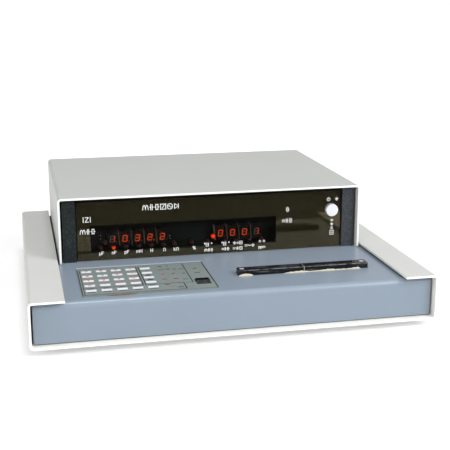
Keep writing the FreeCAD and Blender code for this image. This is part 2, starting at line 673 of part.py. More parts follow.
def keypad_board():
    """The circuit board under the deck that carries the key switches."""
    size = ("overlay_right - overlay_left - 2 * keypad_board_margin",
            "overlay_rear - overlay_front - 2 * keypad_board_margin", "board_gauge")
    corner_at = ("overlay_left + keypad_board_margin", setback("overlay_front + keypad_board_margin"),
                 f"{DECK_TOP} - keypad_board_drop - board_gauge")
    node(box("keypad_board_blank", size, corner_at), "keypad_board")


def key_switches():
    """A square switch under each key, and a larger one under the start button."""
    base = f"{DECK_TOP} - keypad_board_drop"
    made = [centred_box(f"{name}_switch", ("switch_size", "switch_size", "switch_height"), (x, y, base))
            for name, x, y in key_places()]
    size = ("start_switch_width", "start_switch_depth", "start_switch_height")
    made.append(centred_box("start_switch", size, (*START_PLACE, base)))
    node(group("switches", made), "key_switches")


def keypad_leds():
    """Small lamps that stand on the keypad board and show through the printed sheet."""
    base, length = f"{DECK_TOP} - keypad_board_drop", "keypad_board_drop + overlay_gauge - pad_lamp_clear"
    made = [cylinder(f"pad_lamp_{i}", "pad_lamp_radius", length, (x, y, base))
            for i, (x, y) in enumerate(pad_lamp_places())]
    node(group("pad_lamp_group", made), "keypad_leds")


# ---- buttons ----

def start_button():
    """The tall start key: level over its rear half, then sloping down towards the front."""
    body = new_body("start")
    low, top = f"{DECK_TOP} - start_drop", f"{DECK_TOP} + start_lift"
    front, rear = setback("start_y - start_depth / 2"), setback("start_y + start_depth / 2")
    side = sketch(body, "start_side", "YZ", "start_x")
    outline(side, [(front, low), (front, f"{top} - start_slope"), (setback("start_y + start_ridge"), top),
                   (rear, top), (rear, low)])
    pad(body, side, "start_width", both_ways=True)
    fillet(body, "start_corner", lambda e: runs(e, "z"), "start_corners")
    ridge = setback("start_y + start_ridge")
    fillet(body, "start_rim", lambda e: min(v.Point.z for v in e.Vertexes) > value_of(DECK_TOP)
           and not lies(e, y=ridge), "start_rim_round")
    node(body, "start_button")


def power_button():
    """The round mains button, with a softened rim."""
    body = new_body("power")
    front = setback("trim_setback - power_proud")
    plan = sketch(body, "power_plan", "XZ", front)
    circle(plan, ("power_x", up("power_up")), "power_radius")
    pad(body, plan, "power_length", backwards=True)
    fillet(body, "power_edge", lambda e: lies(e, y=front), "power_rim")
    node(body, "power_button")


def power_switch():
    """The mains switch behind the mask, bored for the button's tail, with four tags at its rear."""
    start = setback("mask_setback + mask_gauge")
    housing = box("power_switch_housing", ("power_switch_size", "power_switch_depth", "power_switch_size"),
                  ("power_x - power_switch_size / 2", start, up("power_up - power_switch_size / 2")))
    bore = cylinder("power_switch_hole", "power_hole", "power_switch_bore * 2",
                    ("power_x", f"{start} - power_switch_bore", up("power_up")), "Y")
    tags = [box(f"power_tag_{i}", ("tag_gauge", "tag_length", "tag_width"),
                (f"power_x {sx} tag_reach - tag_gauge / 2", f"{start} + power_switch_depth",
                 up(f"power_up {sz} tag_reach - tag_width / 2")))
            for i, (sx, sz) in enumerate(("--", "-+", "+-", "++"))]
    node(fuse("power_switch_tagged", cut("power_switch_bored", housing, bore), *tags), "power_switch")


# ---- the test fixture ----

def between(sign, near_end, far_end):
    """Lowest and highest X of a stretch on one side of the fixture's middle."""
    ends = [f"fixture_x {sign} ({near_end})", f"fixture_x {sign} ({far_end})"]
    return ends if sign == "+" else ends[::-1]


def jaw(side, sign):
    """One half of the fixture: a flange on the gasket, a body through the deck, a slot for leads."""
    body = new_body(f"jaw_{side}")
    seat, y = f"{DECK_TOP} + gasket_gauge", setback("fixture_y")
    low, high = between(sign, "divider_gauge / 2", "fixture_length / 2")
    flange = sketch(body, f"jaw_{side}_flange", "XY", seat)
    rectangle(flange, (low, f"{y} - fixture_depth / 2"), (high, f"{y} + fixture_depth / 2"))
    pad(body, flange, "fixture_up - gasket_gauge")
    low, high = between(sign, "divider_gauge / 2", "fixture_length / 2 - jaw_end")
    stem = sketch(body, f"jaw_{side}_stem", "XY", seat)
    rectangle(stem, (low, f"{y} - jaw_body_depth / 2"), (high, f"{y} + jaw_body_depth / 2"))
    pad(body, stem, "jaw_body_drop + gasket_gauge", backwards=True)
    fillet(body, "jaw_edge", lambda e: lies(e, z=FIXTURE_TOP), f"jaw_{side}_edges")
    low, high = between(sign, "slot_start", "slot_start + slot_length")
    slot = sketch(body, f"jaw_{side}_slot", "XY", FIXTURE_TOP)
    rectangle(slot, (low, f"{SLOT_LINE} - slot_width / 2"), (high, f"{SLOT_LINE} + slot_width / 2"))
    pocket(body, slot, "slot_depth")
    eye_x = f"fixture_x {sign} (slot_start + slot_length)"
    screw_x = f"fixture_x {sign} (fixture_length / 2 - jaw_screw_inset)"
    for name, x, radius, depth in (
            ("eye", eye_x, "slot_eye", "slot_eye_depth"),
            ("sink", screw_x, "jaw_screw_head + screw_clear", "jaw_screw_head_height + jaw_screw_sink"),
            ("hole", screw_x, "jaw_screw_radius + screw_clear", "fixture_up")):
        ring = sketch(body, f"jaw_{side}_{name}", "XY", FIXTURE_TOP)
        circle(ring, (x, SLOT_LINE), radius)
        pocket(body, ring, depth)
    node(body, f"fixture_jaw_{side}")


def fixture_divider():
    """The thin guard plate between the jaws, a little proud of them."""
    plate = centred_box("divider_plate", ("divider_gauge", "fixture_depth + 2 * divider_proud",
                                          "fixture_up - gasket_gauge + divider_proud"),
                        (*FIXTURE_PLACE, f"{DECK_TOP} + gasket_gauge"))
    tail = centred_box("divider_tail", ("divider_gauge", "jaw_body_depth", "jaw_body_drop + gasket_gauge"),
                       (*FIXTURE_PLACE, f"{DECK_TOP} - jaw_body_drop"))
    node(fuse("divider_blank", plate, tail), "fixture_divider")


def fixture_contacts():
    """Four spring leaves, a facing pair in each slot, bowed towards each other."""
    made = []
    low = f"{FIXTURE_TOP} - slot_depth"
    heights = [low, f"{low} + leaf_bend", f"{low} + leaf_height - leaf_bend", f"{low} + leaf_height"]
    for side, sign in SIDES:
        middle = f"fixture_x {sign} (slot_start + slot_length / 2)"
        for face, turn in (("front", "-"), ("rear", "+")):
            name = f"leaf_{side}_{face}"
            body = new_body(name)
            wall = [f"{SLOT_LINE} {turn} (slot_width / 2 - {bow})" for bow in ("0", "0", "leaf_bow", "0")]
            points = list(zip(wall, heights))
            points += [(f"{y} {'+' if turn == '-' else '-'} leaf_gauge", z) for y, z in reversed(points)]
            profile = sketch(body, name + "_profile", "YZ", middle)
            outline(profile, points)
            pad(body, profile, "slot_length - 2 * leaf_margin", both_ways=True)
            made.append(body)
    node(group("leaves", made), "fixture_contacts")


def fixture_screws():
    """The screws through the jaws' outer ends and the deck, each with its nut underneath."""
    made = []
    head_low = f"{FIXTURE_TOP} - jaw_screw_head_height - jaw_screw_sink"
    nut_low = f"{DECK_TOP} - deck_gauge - nut_height"
    for side, x, y in jaw_screw_places():
        name = f"jaw_screw_{side}"
        head = cylinder(name + "_head", "jaw_screw_head", "jaw_screw_head_height", (x, y, head_low))
        shank = cylinder(name + "_shank", "jaw_screw_radius", f"{head_low} - ({nut_low}) + jaw_screw_end",
                         (x, y, f"{nut_low} - jaw_screw_end"))
        drive = centred_box(name + "_drive", ("jaw_screw_head * 3", "drive_width", "drive_depth * 2"),
                            (x, y, f"{head_low} + jaw_screw_head_height - drive_depth"))
        made.append(cut(name, fuse(name + "_blank", head, shank), drive))
        nut = bind(doc.addObject("Part::Prism", name + "_nut_blank"), Circumradius="nut_radius",
                   Height="nut_height")
        bore = cylinder(name + "_nut_bore", "jaw_screw_radius + nut_clear", "nut_height * 3",
                        (x, y, f"{nut_low} - nut_height"))
        made.append(cut(name + "_nut", put(nut, (x, y, nut_low)), bore))
    node(group("jaw_screws", made), "fixture_screws")


def fixture_gasket():
    """The soft sheet under the jaws' flanges."""
    below = f"{DECK_TOP} - gasket_gauge"
    size = ("fixture_length + 2 * gasket_lip", "fixture_depth + 2 * gasket_lip", "gasket_gauge")
    sheet = centred_box("gasket_sheet", size, (*FIXTURE_PLACE, DECK_TOP))
    window = centred_box("gasket_window", (*JAW_WINDOW, "gasket_gauge * 3"), (*FIXTURE_PLACE, below))
    holes = [cylinder(f"gasket_hole_{side}", "jaw_screw_radius + screw_clear", "gasket_gauge * 3",
                      (x, y, below)) for side, x, y in jaw_screw_places()]
    node(cut("gasket_open", sheet, window, *holes), "fixture_gasket")


# ---- circuits and mains parts ----

def main_board():
    size = ("main_board_width", "main_board_depth", "board_gauge")
    at = ("-main_board_width / 2", setback("main_board_setback"), up("main_board_up"))
    node(box("main_board_blank", size, at), "main_board")


def board_chips():
    """Dual-in-line chips in rows on the main board."""
    made = []
    for row in range(DIMENSIONS["chip_rows"]):
        for column in range(DIMENSIONS["chip_columns"]):
            x = f"-main_board_width / 2 + chip_margin_x + {column} * chip_pitch_x"
            y = setback(f"main_board_setback + chip_margin_y + {row} * chip_pitch_y")
            made.append(centred_box(f"chip_{row}_{column}", ("chip_width", "chip_depth", "chip_height"),
                                    (x, y, up("main_board_up + board_gauge"))))
    node(group("chips", made), "board_chips")


def board_standoffs():
    """Pillars: six under the main board, four over the keypad board, four behind the mask."""
    made = []
    end_x, far_y = "main_board_width / 2 - pillar_inset", "main_board_depth - pillar_inset"
    for i, x in enumerate((f"-({end_x})", "0", end_x)):
        for j, y in enumerate(("pillar_inset", far_y)):
            at = (x, setback(f"main_board_setback + {y}"), up("gauge"))
            made.append(cylinder(f"pillar_{i}_{j}", "pillar_radius", "main_board_up - gauge", at))
    length = "keypad_board_drop - deck_gauge"
    for i, x in enumerate(("overlay_left + keypad_pillar_inset", "overlay_right - keypad_pillar_inset")):
        for j, y in enumerate(("overlay_front + keypad_pillar_inset", "overlay_rear - keypad_pillar_inset")):
            at = (x, setback(y), f"{DECK_TOP} - keypad_board_drop")
            made.append(cylinder(f"keypad_pillar_{i}_{j}", "keypad_pillar_radius", length, at))
    behind, length = "mask_setback + mask_gauge", "display_board_setback - mask_setback - mask_gauge"
    for i, x in enumerate(("view_left - display_pillar_inset", "view_right + display_pillar_inset")):
        for j, height in enumerate(("view_low - display_pillar_low", "view_high + display_pillar_high")):
            at = (x, setback(behind), up(height))
            made.append(cylinder(f"display_pillar_{i}_{j}", "pillar_radius", length, at, "Y"))
    node(group("pillars", made), "board_standoffs")


def power_transformer():
    """A laminated core round a wound bobbin, on a foot plate, standing on the deck inside the hood."""
    x, y = "transformer_x", setback("transformer_setback")
    core = centred_box("core", ("core_width", "core_depth", "core_height"), (x, y, DECK_TOP))
    coil = centred_box("coil", ("coil_width", "coil_depth", "coil_height"),
                       (x, y, f"{DECK_TOP} + (core_height - coil_height) / 2"))
    foot = centred_box("core_foot", ("core_foot_width", "core_foot_depth", "core_foot_gauge"),
                       (x, y, DECK_TOP))
    node(fuse("transformer", core, coil, foot), "power_transformer")


def smoothing_capacitors():
    made = [cylinder(f"capacitor_{i}", "capacitor_radius", "capacitor_height",
                     ("capacitor_x", setback(f"capacitor_setback - {i} * capacitor_pitch"), DECK_TOP))
            for i in range(DIMENSIONS["capacitor_count"])]
    node(group("capacitors", made), "smoothing_capacitors")


def regulator_heatsink():
    """An upright extrusion with fins towards the vents, on the deck."""
    left, y = "sink_x - sink_width / 2", setback("sink_setback")
    plate = box("sink_plate", ("sink_width", "sink_base", "sink_height"), (left, y, DECK_TOP))
    step = "(sink_width - sink_fin_gauge) / (sink_fin_count - 1)"
    fins = [box(f"sink_fin_{i}", ("sink_fin_gauge", "sink_fin", "sink_height"),
                (f"{left} + {i} * {step}", f"{y} + sink_base", DECK_TOP))
            for i in range(DIMENSIONS["sink_fin_count"])]
    node(fuse("sink", plate, *fins), "regulator_heatsink")


def mains_inlet():
    """A flanged three-pin appliance inlet in the rear panel, with its two upper corners cut off."""
    body = new_body("inlet")
    face, x, z = setback("rear_setback + rear_gauge + inlet_flange"), "inlet_x", up("inlet_up")
    flange = sketch(body, "inlet_flange_plan", "XZ", face)
    rectangle_about(flange, (x, z), ("inlet_flange_x", "inlet_flange_z"))
    pad(body, flange, "inlet_flange")
    fillet(body, "inlet_flange_corner", lambda e: runs(e, "y"), "inlet_corners")
    shroud = sketch(body, "inlet_shroud", "XZ", face)
    rectangle_about(shroud, (x, z), ("inlet_body_x", "inlet_body_z"))
    pad(body, shroud, "inlet_body_depth")
    well = sketch(body, "inlet_well", "XZ", face)
    right = [(f"{x} + socket_x / 2", f"{z} - socket_z / 2"),
             (f"{x} + socket_x / 2", f"{z} + socket_z / 2 - socket_corner"),
             (f"{x} + socket_x / 2 - socket_corner", f"{z} + socket_z / 2")]
    outline(well, right + [(f"2 * {x} - ({px})", pz) for px, pz in reversed(right)])
    pocket(body, well, "socket_depth", backwards=True)
    for i, (px, pz) in enumerate((("- pin_x", "- pin_rise"), ("+ pin_x", "- pin_rise"), ("", "+ pin_rise"))):
        pin = sketch(body, f"inlet_pin_{i}", "XZ", f"{face} - socket_depth")
        rectangle_about(pin, (f"{x} {px}", f"{z} {pz}"), ("pin_gauge", "pin_height"))
        pad(body, pin, "pin_length", backwards=True)
    holes = sketch(body, "inlet_screw_holes", "XZ", face)
    for place in inlet_screw_places():
        circle(holes, place, "pan_radius + screw_clear")
    pocket(body, holes)
    node(body, "mains_inlet")


def fuse_holder():
    """A panel fuse holder: a flanged barrel through the panel and a slotted cap."""
    face, z = setback("rear_setback + rear_gauge"), up("fuse_up")
    barrel = cylinder("fuse_barrel", "fuse_radius", "fuse_length",
                      ("fuse_x", f"{face} - fuse_length", z), "Y")
    flange = cylinder("fuse_flange_ring", "fuse_flange", "fuse_flange_gauge", ("fuse_x", face, z), "Y")
    cap = cone("fuse_cap_cone", "fuse_cap", "fuse_cap - fuse_cap_taper", "fuse_proud - fuse_flange_gauge",
               ("fuse_x", f"{face} + fuse_flange_gauge", z), "Y")
    slot = box("fuse_slot_tool", ("fuse_cap * 2", "fuse_slot_depth * 2", "fuse_slot"),
               ("fuse_x - fuse_cap", f"{face} + fuse_proud - fuse_slot_depth", f"{z} - fuse_slot / 2"))
    node(cut("fuse_cap_slotted", fuse("fuse_blank", barrel, flange, cap), slot), "fuse_holder")


def ribbon_cables():
    """Two flat cables to the main board: from the display board and from the keypad board."""
    board_top = up("main_board_up + board_gauge")
    display = new_body("display_ribbon")
    back = setback("display_board_setback + board_gauge")
    drop = setback("cable_slot_setback + cable_slot_depth / 2")
    profile = sketch(display, "display_ribbon_profile", "YZ", "ribbon_x")
    outline(profile, [(back, up("deck_up + ribbon_rise")),
                      (back, up("deck_up + ribbon_rise + ribbon_gauge")),
                      (f"{drop} + ribbon_gauge", up("deck_up + ribbon_drop")),
                      (f"{drop} + ribbon_gauge", board_top),
                      (drop, board_top),
                      (drop, up("deck_up + ribbon_drop - ribbon_gauge"))])
    pad(display, profile, "ribbon_width", both_ways=True)
    keypad = new_body("keypad_ribbon")
    start = setback("overlay_rear - ribbon_inset")
    end = setback("main_board_setback + ribbon_inset")
    low = f"{DECK_TOP} - keypad_board_drop - board_gauge"
    profile = sketch(keypad, "keypad_ribbon_profile", "YZ", "ribbon_x")
    outline(profile, [(start, low),
                      (f"{start} + ribbon_gauge", low),
                      (f"{start} + ribbon_gauge", f"{low} - ribbon_fall"),
                      (f"{end} + ribbon_gauge", f"{board_top} + ribbon_drop"),
                      (f"{end} + ribbon_gauge", board_top),
                      (end, board_top),
                      (end, f"{board_top} + ribbon_drop - ribbon_gauge"),
                      (start, f"{low} - ribbon_fall - ribbon_gauge")])
    pad(keypad, profile, "ribbon_width", both_ways=True)
    node(group("ribbons", [display, keypad]), "ribbon_cables")


def write_parts():
    """Checks every object and each sub-part's shape, then writes one STEP file for each sub-part."""
    doc.recompute()
    failed = [o.Name for o in doc.Objects if {"Invalid", "Error"} & set(o.State)]
    require(not failed, f"objects failed to build: {failed}")
    os.makedirs("parts", exist_ok=True)
    for item in NODES:
        shape = item.Shape
        require(not shape.isNull() and shape.isValid() and shape.Solids, f"{item.Label} has no valid solid")
        shape.exportStep(f"parts/{item.Label}.step")
        print(f"{item.Label}: {len(shape.Solids)} solids, {shape.Volume:.1f} mm3")


make_sheet()
base_wrap()
deck_cover()
display_hood()
rear_panel()
panel_screws()
feet()
foot_screws()
display_side_trims()
display_window()
display_mask()
display_board()
digit_displays()
indicator_leds()
keypad_overlay()
keys()
keypad_board()
key_switches()
keypad_leds()
start_button()
power_button()
power_switch()
for jaw_side in SIDES:
    jaw(*jaw_side)
fixture_divider()
fixture_contacts()
fixture_screws()
fixture_gasket()
main_board()
board_chips()
board_standoffs()
power_transformer()
smoothing_capacitors()
regulator_heatsink()
mains_inlet()
fuse_holder()
ribbon_cables()
write_parts()
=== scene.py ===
import math
import random

import bmesh
import bpy
from mathutils import Matrix, Vector


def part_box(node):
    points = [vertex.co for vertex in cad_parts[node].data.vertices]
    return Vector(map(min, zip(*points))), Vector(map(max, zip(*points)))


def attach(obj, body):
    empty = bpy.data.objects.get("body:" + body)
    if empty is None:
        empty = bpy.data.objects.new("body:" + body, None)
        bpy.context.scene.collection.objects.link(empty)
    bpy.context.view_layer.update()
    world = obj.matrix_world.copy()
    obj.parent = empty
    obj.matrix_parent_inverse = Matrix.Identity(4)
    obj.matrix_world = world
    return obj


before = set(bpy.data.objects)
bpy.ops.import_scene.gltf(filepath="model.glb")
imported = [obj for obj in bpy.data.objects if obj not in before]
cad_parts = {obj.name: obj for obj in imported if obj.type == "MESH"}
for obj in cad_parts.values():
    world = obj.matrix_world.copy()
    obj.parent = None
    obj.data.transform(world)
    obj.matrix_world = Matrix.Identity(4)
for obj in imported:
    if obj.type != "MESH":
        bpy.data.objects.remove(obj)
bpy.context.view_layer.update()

# The looks of a bench LCR meter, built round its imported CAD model. Everything is in metres in the
# model's own frame: +X right, +Y towards the rear, +Z up, the origin on the floor under the middle.
# Lists of places are in millimetres, measured from the middle of the instrument (x), from the front
# edge of its wrap (back) and from the wrap's underside (up), and turned into metres by place().

MM = 0.001
BODY = "instrument"
FRONT_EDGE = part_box("base_wrap")[0].y
WRAP_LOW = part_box("base_wrap")[0].z
DECK_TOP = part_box("deck_cover")[1].z
WINDOW_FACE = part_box("display_window")[0].y
OVERLAY_LOW, OVERLAY_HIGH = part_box("keypad_overlay")
DIGITS_LOW, DIGITS_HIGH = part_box("digit_displays")

PRINT = 0.04 * MM  # how thick ink is
WELD = 0.001 * MM  # points nearer to each other than this are one
KEY_ROWS, KEY_COLUMNS = 5, 5
LEFT_READING, RIGHT_READING = "10322", "0001"
POINT_AFTER = 3  # the decimal point follows this digit, counted from 0

random.seed(7)


def place(x, back, up):
    return Vector((x * MM, FRONT_EDGE + back * MM, WRAP_LOW + up * MM))


# ---------------------------------------------------------------- node trees

# the sockets of a Mix node for colours
MIX_A, MIX_B, MIX_RESULT = 6, 7, 2


def material(name, roughness, metallic=0.0, **sockets):
    """A new material, its node tree and its shader, whose sockets are named with _ for a space."""
    made = bpy.data.materials.new(name)
    made.use_nodes = True
    tree = made.node_tree
    shader = tree.nodes["Principled BSDF"]
    shader.inputs["Roughness"].default_value = roughness
    shader.inputs["Metallic"].default_value = metallic
    for socket, value in sockets.items():
        shader.inputs[socket.replace("_", " ")].default_value = value
    return made, tree, shader


def connect(node, socket, value):
    """Links a socket to another node's output, or sets it to a plain value."""
    if isinstance(value, bpy.types.NodeSocket):
        node.id_data.links.new(value, node.inputs[socket])
    else:
        node.inputs[socket].default_value = value


def add(tree, kind, inputs=None, **settings):
    node = tree.nodes.new(kind)
    for key, value in settings.items():
        setattr(node, key, value)
    for socket, value in (inputs or {}).items():
        connect(node, socket, value)
    return node


def object_space(tree):
    return add(tree, "ShaderNodeTexCoord").outputs["Object"]


def split(tree, vector):
    """The X, Y and Z outputs of a vector."""
    return add(tree, "ShaderNodeSeparateXYZ", {0: vector}).outputs


def stretched(tree, vector, scale):
    return add(tree, "ShaderNodeMapping", {"Vector": vector, "Scale": scale}).outputs[0]


def noise(tree, scale, detail=3.0, roughness=0.5, vector=None):
    """Noise whose features are about 1 / scale metres across."""
    node = add(tree, "ShaderNodeTexNoise", {"Vector": vector or object_space(tree), "Scale": scale,
                                            "Detail": detail, "Roughness": roughness})
    return node.outputs["Fac"]


def remap(tree, value, low, high, to_low=0.0, to_high=1.0):
    """Maps low to to_low and high to to_high, and stays between them outside."""
    node = add(tree, "ShaderNodeMapRange", {"Value": value, "From Min": low, "From Max": high,
                                            "To Min": to_low, "To Max": to_high})
    return node.outputs["Result"]


def math_node(tree, operation, a, b=0.0):
    return add(tree, "ShaderNodeMath", {0: a, 1: b}, operation=operation).outputs[0]


def mix(tree, amount, a, b):
    """Mixes two colours, each a socket or three numbers."""
    node = add(tree, "ShaderNodeMix", {"Factor": amount}, data_type="RGBA")
    for socket, value in ((MIX_A, a), (MIX_B, b)):
        plain = not isinstance(value, bpy.types.NodeSocket)
        connect(node, socket, (*value, 1) if plain else value)
    return node.outputs[MIX_RESULT]


def bump(tree, height, strength, distance):
    node = add(tree, "ShaderNodeBump", {"Height": height, "Strength": strength,
                                        "Distance": distance})
    return node.outputs["Normal"]


def srgb(*colour):
    """A linear colour from the 0-255 values that a screen shows."""
    shares = (c / 255 for c in colour)
    return tuple(s / 12.92 if s <= 0.04045 else ((s + 0.055) / 1.055) ** 2.4 for s in shares)


def toned(colour, factor):
    return tuple(min(1, c * factor) for c in colour)


# ---------------------------------------------------------------- kinds of finish

# the paler colour of forward-facing cut sheet edges, a painted highlight
PAINTED_EDGE_HIGHLIGHT = (0.92, 0.92, 0.90)


def painted(name, colour, roughness, grain, mottling, specks=False, edges=(), inner=None,
            right=None, **sockets):
    """Enamel on sheet metal: fine orange peel, slight mottling and a little uneven gloss.

    specks adds pale grains.
    edges are the Y of sheet ends, where faces that look forward are paler: a painted highlight.
    inner is a paler colour on faces that look inwards and on the low ledge: painted light.
    right is a paler colour on what stands right of the middle: painted light."""
    made, tree, shader = material(name, roughness, **sockets)
    where = split(tree, object_space(tree))
    facing = split(tree, add(tree, "ShaderNodeNewGeometry").outputs["Normal"])
    cloud = remap(tree, noise(tree, 14, detail=4, roughness=0.6), 0.15, 0.85)
    tone = mix(tree, cloud, toned(colour, 1 - 2 * mottling), toned(colour, 1 + 2 * mottling))
    if specks:
        grains = remap(tree, noise(tree, 620, detail=2, roughness=0.7), 0.5, 0.64)
        tone = mix(tree, grains, tone, toned(colour, 3.4))
    # painted light: what stands right of the middle takes a paler, grainy colour
    if right:
        grains = remap(tree, noise(tree, 620, detail=2, roughness=0.7), 0.4, 0.64)
        painted_light_right = mix(tree, grains, toned(right, 0.8), toned(right, 1.5))
        tone = mix(tree, remap(tree, where["X"], -1 * MM, 1 * MM), tone, painted_light_right)
    # painted light: walls that face inwards and the low ledge take the paler colour
    if inner:
        outward = math_node(tree, "MULTIPLY", facing["X"], math_node(tree, "SIGN", where["X"]))
        walls = remap(tree, outward, -0.4, -0.8)
        low = remap(tree, where["Z"], WRAP_LOW + 4 * MM, WRAP_LOW + 3 * MM)
        ledge = math_node(tree, "MULTIPLY", low, remap(tree, facing["Z"], 0.4, 0.8))
        tone = mix(tree, math_node(tree, "MAXIMUM", walls, ledge), tone, inner)
    # painted highlight: forward-facing faces near the sheet ends take the paler colour
    if edges:
        forward = remap(tree, facing["Y"], -0.25, -0.75)
        near = 0.0
        for edge in edges:
            away = math_node(tree, "ABSOLUTE", math_node(tree, "SUBTRACT", where["Y"], edge))
            near = math_node(tree, "MAXIMUM", remap(tree, away, 1.2 * MM, 0.8 * MM), near)
        tone = mix(tree, math_node(tree, "MULTIPLY", near, forward), tone, PAINTED_EDGE_HIGHLIGHT)
    connect(shader, "Base Color", tone)
    gloss = remap(tree, noise(tree, 25, detail=2), 0.1, 0.9, roughness - 0.03, roughness + 0.04)
    connect(shader, "Roughness", gloss)
    peel = noise(tree, 1100, detail=2, roughness=0.6)
    connect(shader, "Normal", bump(tree, peel, grain, 0.1 * MM))
    return made


def moulded(name, colour, roughness=0.45, grain=0.1, scale=1600, mottling=0.06, **sockets):
    """Moulded plastic: a fine grain in the surface and uneven polish from handling."""
    made, tree, shader = material(name, roughness, **sockets)
    cloud = remap(tree, noise(tree, 90, detail=4, roughness=0.6), 0.3, 0.7)
    tone = mix(tree, cloud, toned(colour, 1 - mottling), toned(colour, 1 + mottling))
    connect(shader, "Base Color", tone)
    gloss = remap(tree, noise(tree, 260), 0.3, 0.7, max(0.03, roughness - 0.07), roughness + 0.09)
    connect(shader, "Roughness", gloss)
    connect(shader, "Normal", bump(tree, noise(tree, scale, detail=2), grain, 0.05 * MM))
    return made


def brushed(name, colour, roughness):
    """Bare metal with a grain along X."""
    made, tree, shader = material(name, roughness, metallic=1.0)
    along = stretched(tree, object_space(tree), (1, 40, 40))
    grain = noise(tree, 120, detail=4, roughness=0.6, vector=along)
    connect(shader, "Base Color", mix(tree, grain, toned(colour, 0.8), toned(colour, 1.1)))
    connect(shader, "Roughness", remap(tree, grain, 0.3, 0.7, roughness - 0.1, roughness + 0.12))
    connect(shader, "Normal", bump(tree, grain, 0.08, 0.05 * MM))
    return made


def smoked_acrylic():
    """The tinted window sheet: what is lit behind it shows through, and it mirrors the deck."""
    made, tree, shader = material("smoked_acrylic", 0.03, Alpha=0.12, IOR=1.42)
    cloud = remap(tree, noise(tree, 9), 0.35, 0.65)
    connect(shader, "Base Color", mix(tree, cloud, srgb(14, 12, 8), srgb(19, 17, 11)))
    smears = noise(tree, 35, detail=5, roughness=0.7)
    connect(shader, "Roughness", remap(tree, smears, 0.45, 0.75, 0.01, 0.03))
    return made


def backing_film():
    """Olive-brown print on the back of the window, so glossy that it mirrors the deck in brown."""
    made, tree, shader = material("backing_film", 0.03, IOR=2.3,
                                  Specular_Tint=(1.0, 0.82, 0.46, 1))
    cloud = remap(tree, noise(tree, 12, detail=4, roughness=0.6), 0.35, 0.65)
    tone = mix(tree, cloud, (0.019, 0.017, 0.009), (0.026, 0.023, 0.012))
    connect(shader, "Base Color", tone)
    smears = noise(tree, 50, detail=4, roughness=0.6)
    connect(shader, "Roughness", remap(tree, smears, 0.3, 0.7, 0.015, 0.04))
    return made


def phenolic_wear_and_painted_highlight():
    """Black moulded laminate, rubbed grey in long streaks and along its top front edge, where the
    pale line is partly rubbing and partly a painted highlight.
    """
    made, tree, shader = material("phenolic_wear_and_painted_highlight", 0.35, Specular_IOR_Level=0.22)
    where = object_space(tree)
    axes = split(tree, where)
    scratches = noise(tree, 700, roughness=0.6, vector=stretched(tree, where, (0.06, 1, 1)))
    streaks = remap(tree, scratches, 0.56, 0.70)
    low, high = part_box("fixture_jaw_left")
    from_top = math_node(tree, "SUBTRACT", high.z, axes["Z"])
    from_front = math_node(tree, "SUBTRACT", axes["Y"], low.y)
    from_edge = math_node(tree, "MAXIMUM", from_top, from_front)
    patches = remap(tree, noise(tree, 220), 0.35, 0.6)
    # the pale line along the top front edge: partly rubbed, partly a painted highlight
    edge = math_node(tree, "MULTIPLY", remap(tree, from_edge, 0.9 * MM, 0.3 * MM), patches)
    wear_and_painted_highlight = math_node(tree, "MAXIMUM", math_node(tree, "MULTIPLY", streaks, 0.5), edge)
    cloud = remap(tree, noise(tree, 60, detail=4), 0.3, 0.7)
    black = mix(tree, cloud, (0.004, 0.005, 0.006), (0.009, 0.011, 0.013))
    connect(shader, "Base Color", mix(tree, wear_and_painted_highlight, black, (0.20, 0.21, 0.22)))
    connect(shader, "Roughness", remap(tree, streaks, 0.0, 1.0, 0.28, 0.55))
    connect(shader, "Normal", bump(tree, streaks, 0.25, 0.06 * MM))
    return made


def lamp_lenses(name, lit):
    """Dull red lamps. lit are places, each with the distance up to which its lamp glows fully, and
    the distance where the glow ends."""
    made, tree, shader = material(name, 0.4, Specular_IOR_Level=0.3, Emission_Strength=1.0)
    where = object_space(tree)
    glow = 0.0
    for spot, full, end in lit:
        apart = add(tree, "ShaderNodeVectorMath", {0: where, 1: spot}, operation="DISTANCE")
        near = remap(tree, apart.outputs["Value"], end, full)
        glow = math_node(tree, "MAXIMUM", near, glow)
    cloud = remap(tree, noise(tree, 700, detail=2), 0.3, 0.7)
    dull = mix(tree, cloud, srgb(56, 20, 20), srgb(72, 28, 29))
    connect(shader, "Base Color", mix(tree, glow, dull, srgb(190, 30, 5)))
    connect(shader, "Emission Color", mix(tree, glow, (0, 0, 0), (0.80, 0.045, 0.0)))
    return made


def glowing(name, colour, base):
    """A lit segment: colour is what it gives out, a little unevenly, and base what it reflects."""
    made, tree, shader = material(name, 0.4, Specular_IOR_Level=0.1, Emission_Strength=1.0,
                                  Base_Color=(*base, 1))
    cloud = remap(tree, noise(tree, 900, detail=2), 0.25, 0.75)
    connect(shader, "Emission Color", mix(tree, cloud, toned(colour, 0.82), colour))
    return made


def circuit_board(name, ground, track, **sockets):
    """Resist over copper tracks, which run as straight lines between square cells."""
    made, tree, shader = material(name, 0.35, **sockets)
    cells = add(tree, "ShaderNodeTexVoronoi", {"Vector": object_space(tree), "Scale": 260.0},
                distance="CHEBYCHEV", feature="F1")
    tracks = remap(tree, cells.outputs["Distance"], 0.38, 0.42)
    connect(shader, "Base Color", mix(tree, tracks, ground, track))
    connect(shader, "Normal", bump(tree, tracks, 0.3, 0.04 * MM))
    return made


def laminated_core():
    """Varnished steel laminations, stacked along Y."""
    made, tree, shader = material("laminated_core", 0.45, metallic=0.6)
    lamination = 0.7 * MM
    back = split(tree, object_space(tree))["Y"]
    sheets = math_node(tree, "SINE", math_node(tree, "MULTIPLY", back, 2 * math.pi / lamination))
    dark, pale = srgb(54, 50, 47), srgb(92, 88, 84)
    connect(shader, "Base Color", mix(tree, remap(tree, sheets, -0.6, 0.6), dark, pale))
    connect(shader, "Normal", bump(tree, sheets, 0.4, 0.1 * MM))
    return made


# ---------------------------------------------------------------- mesh helpers

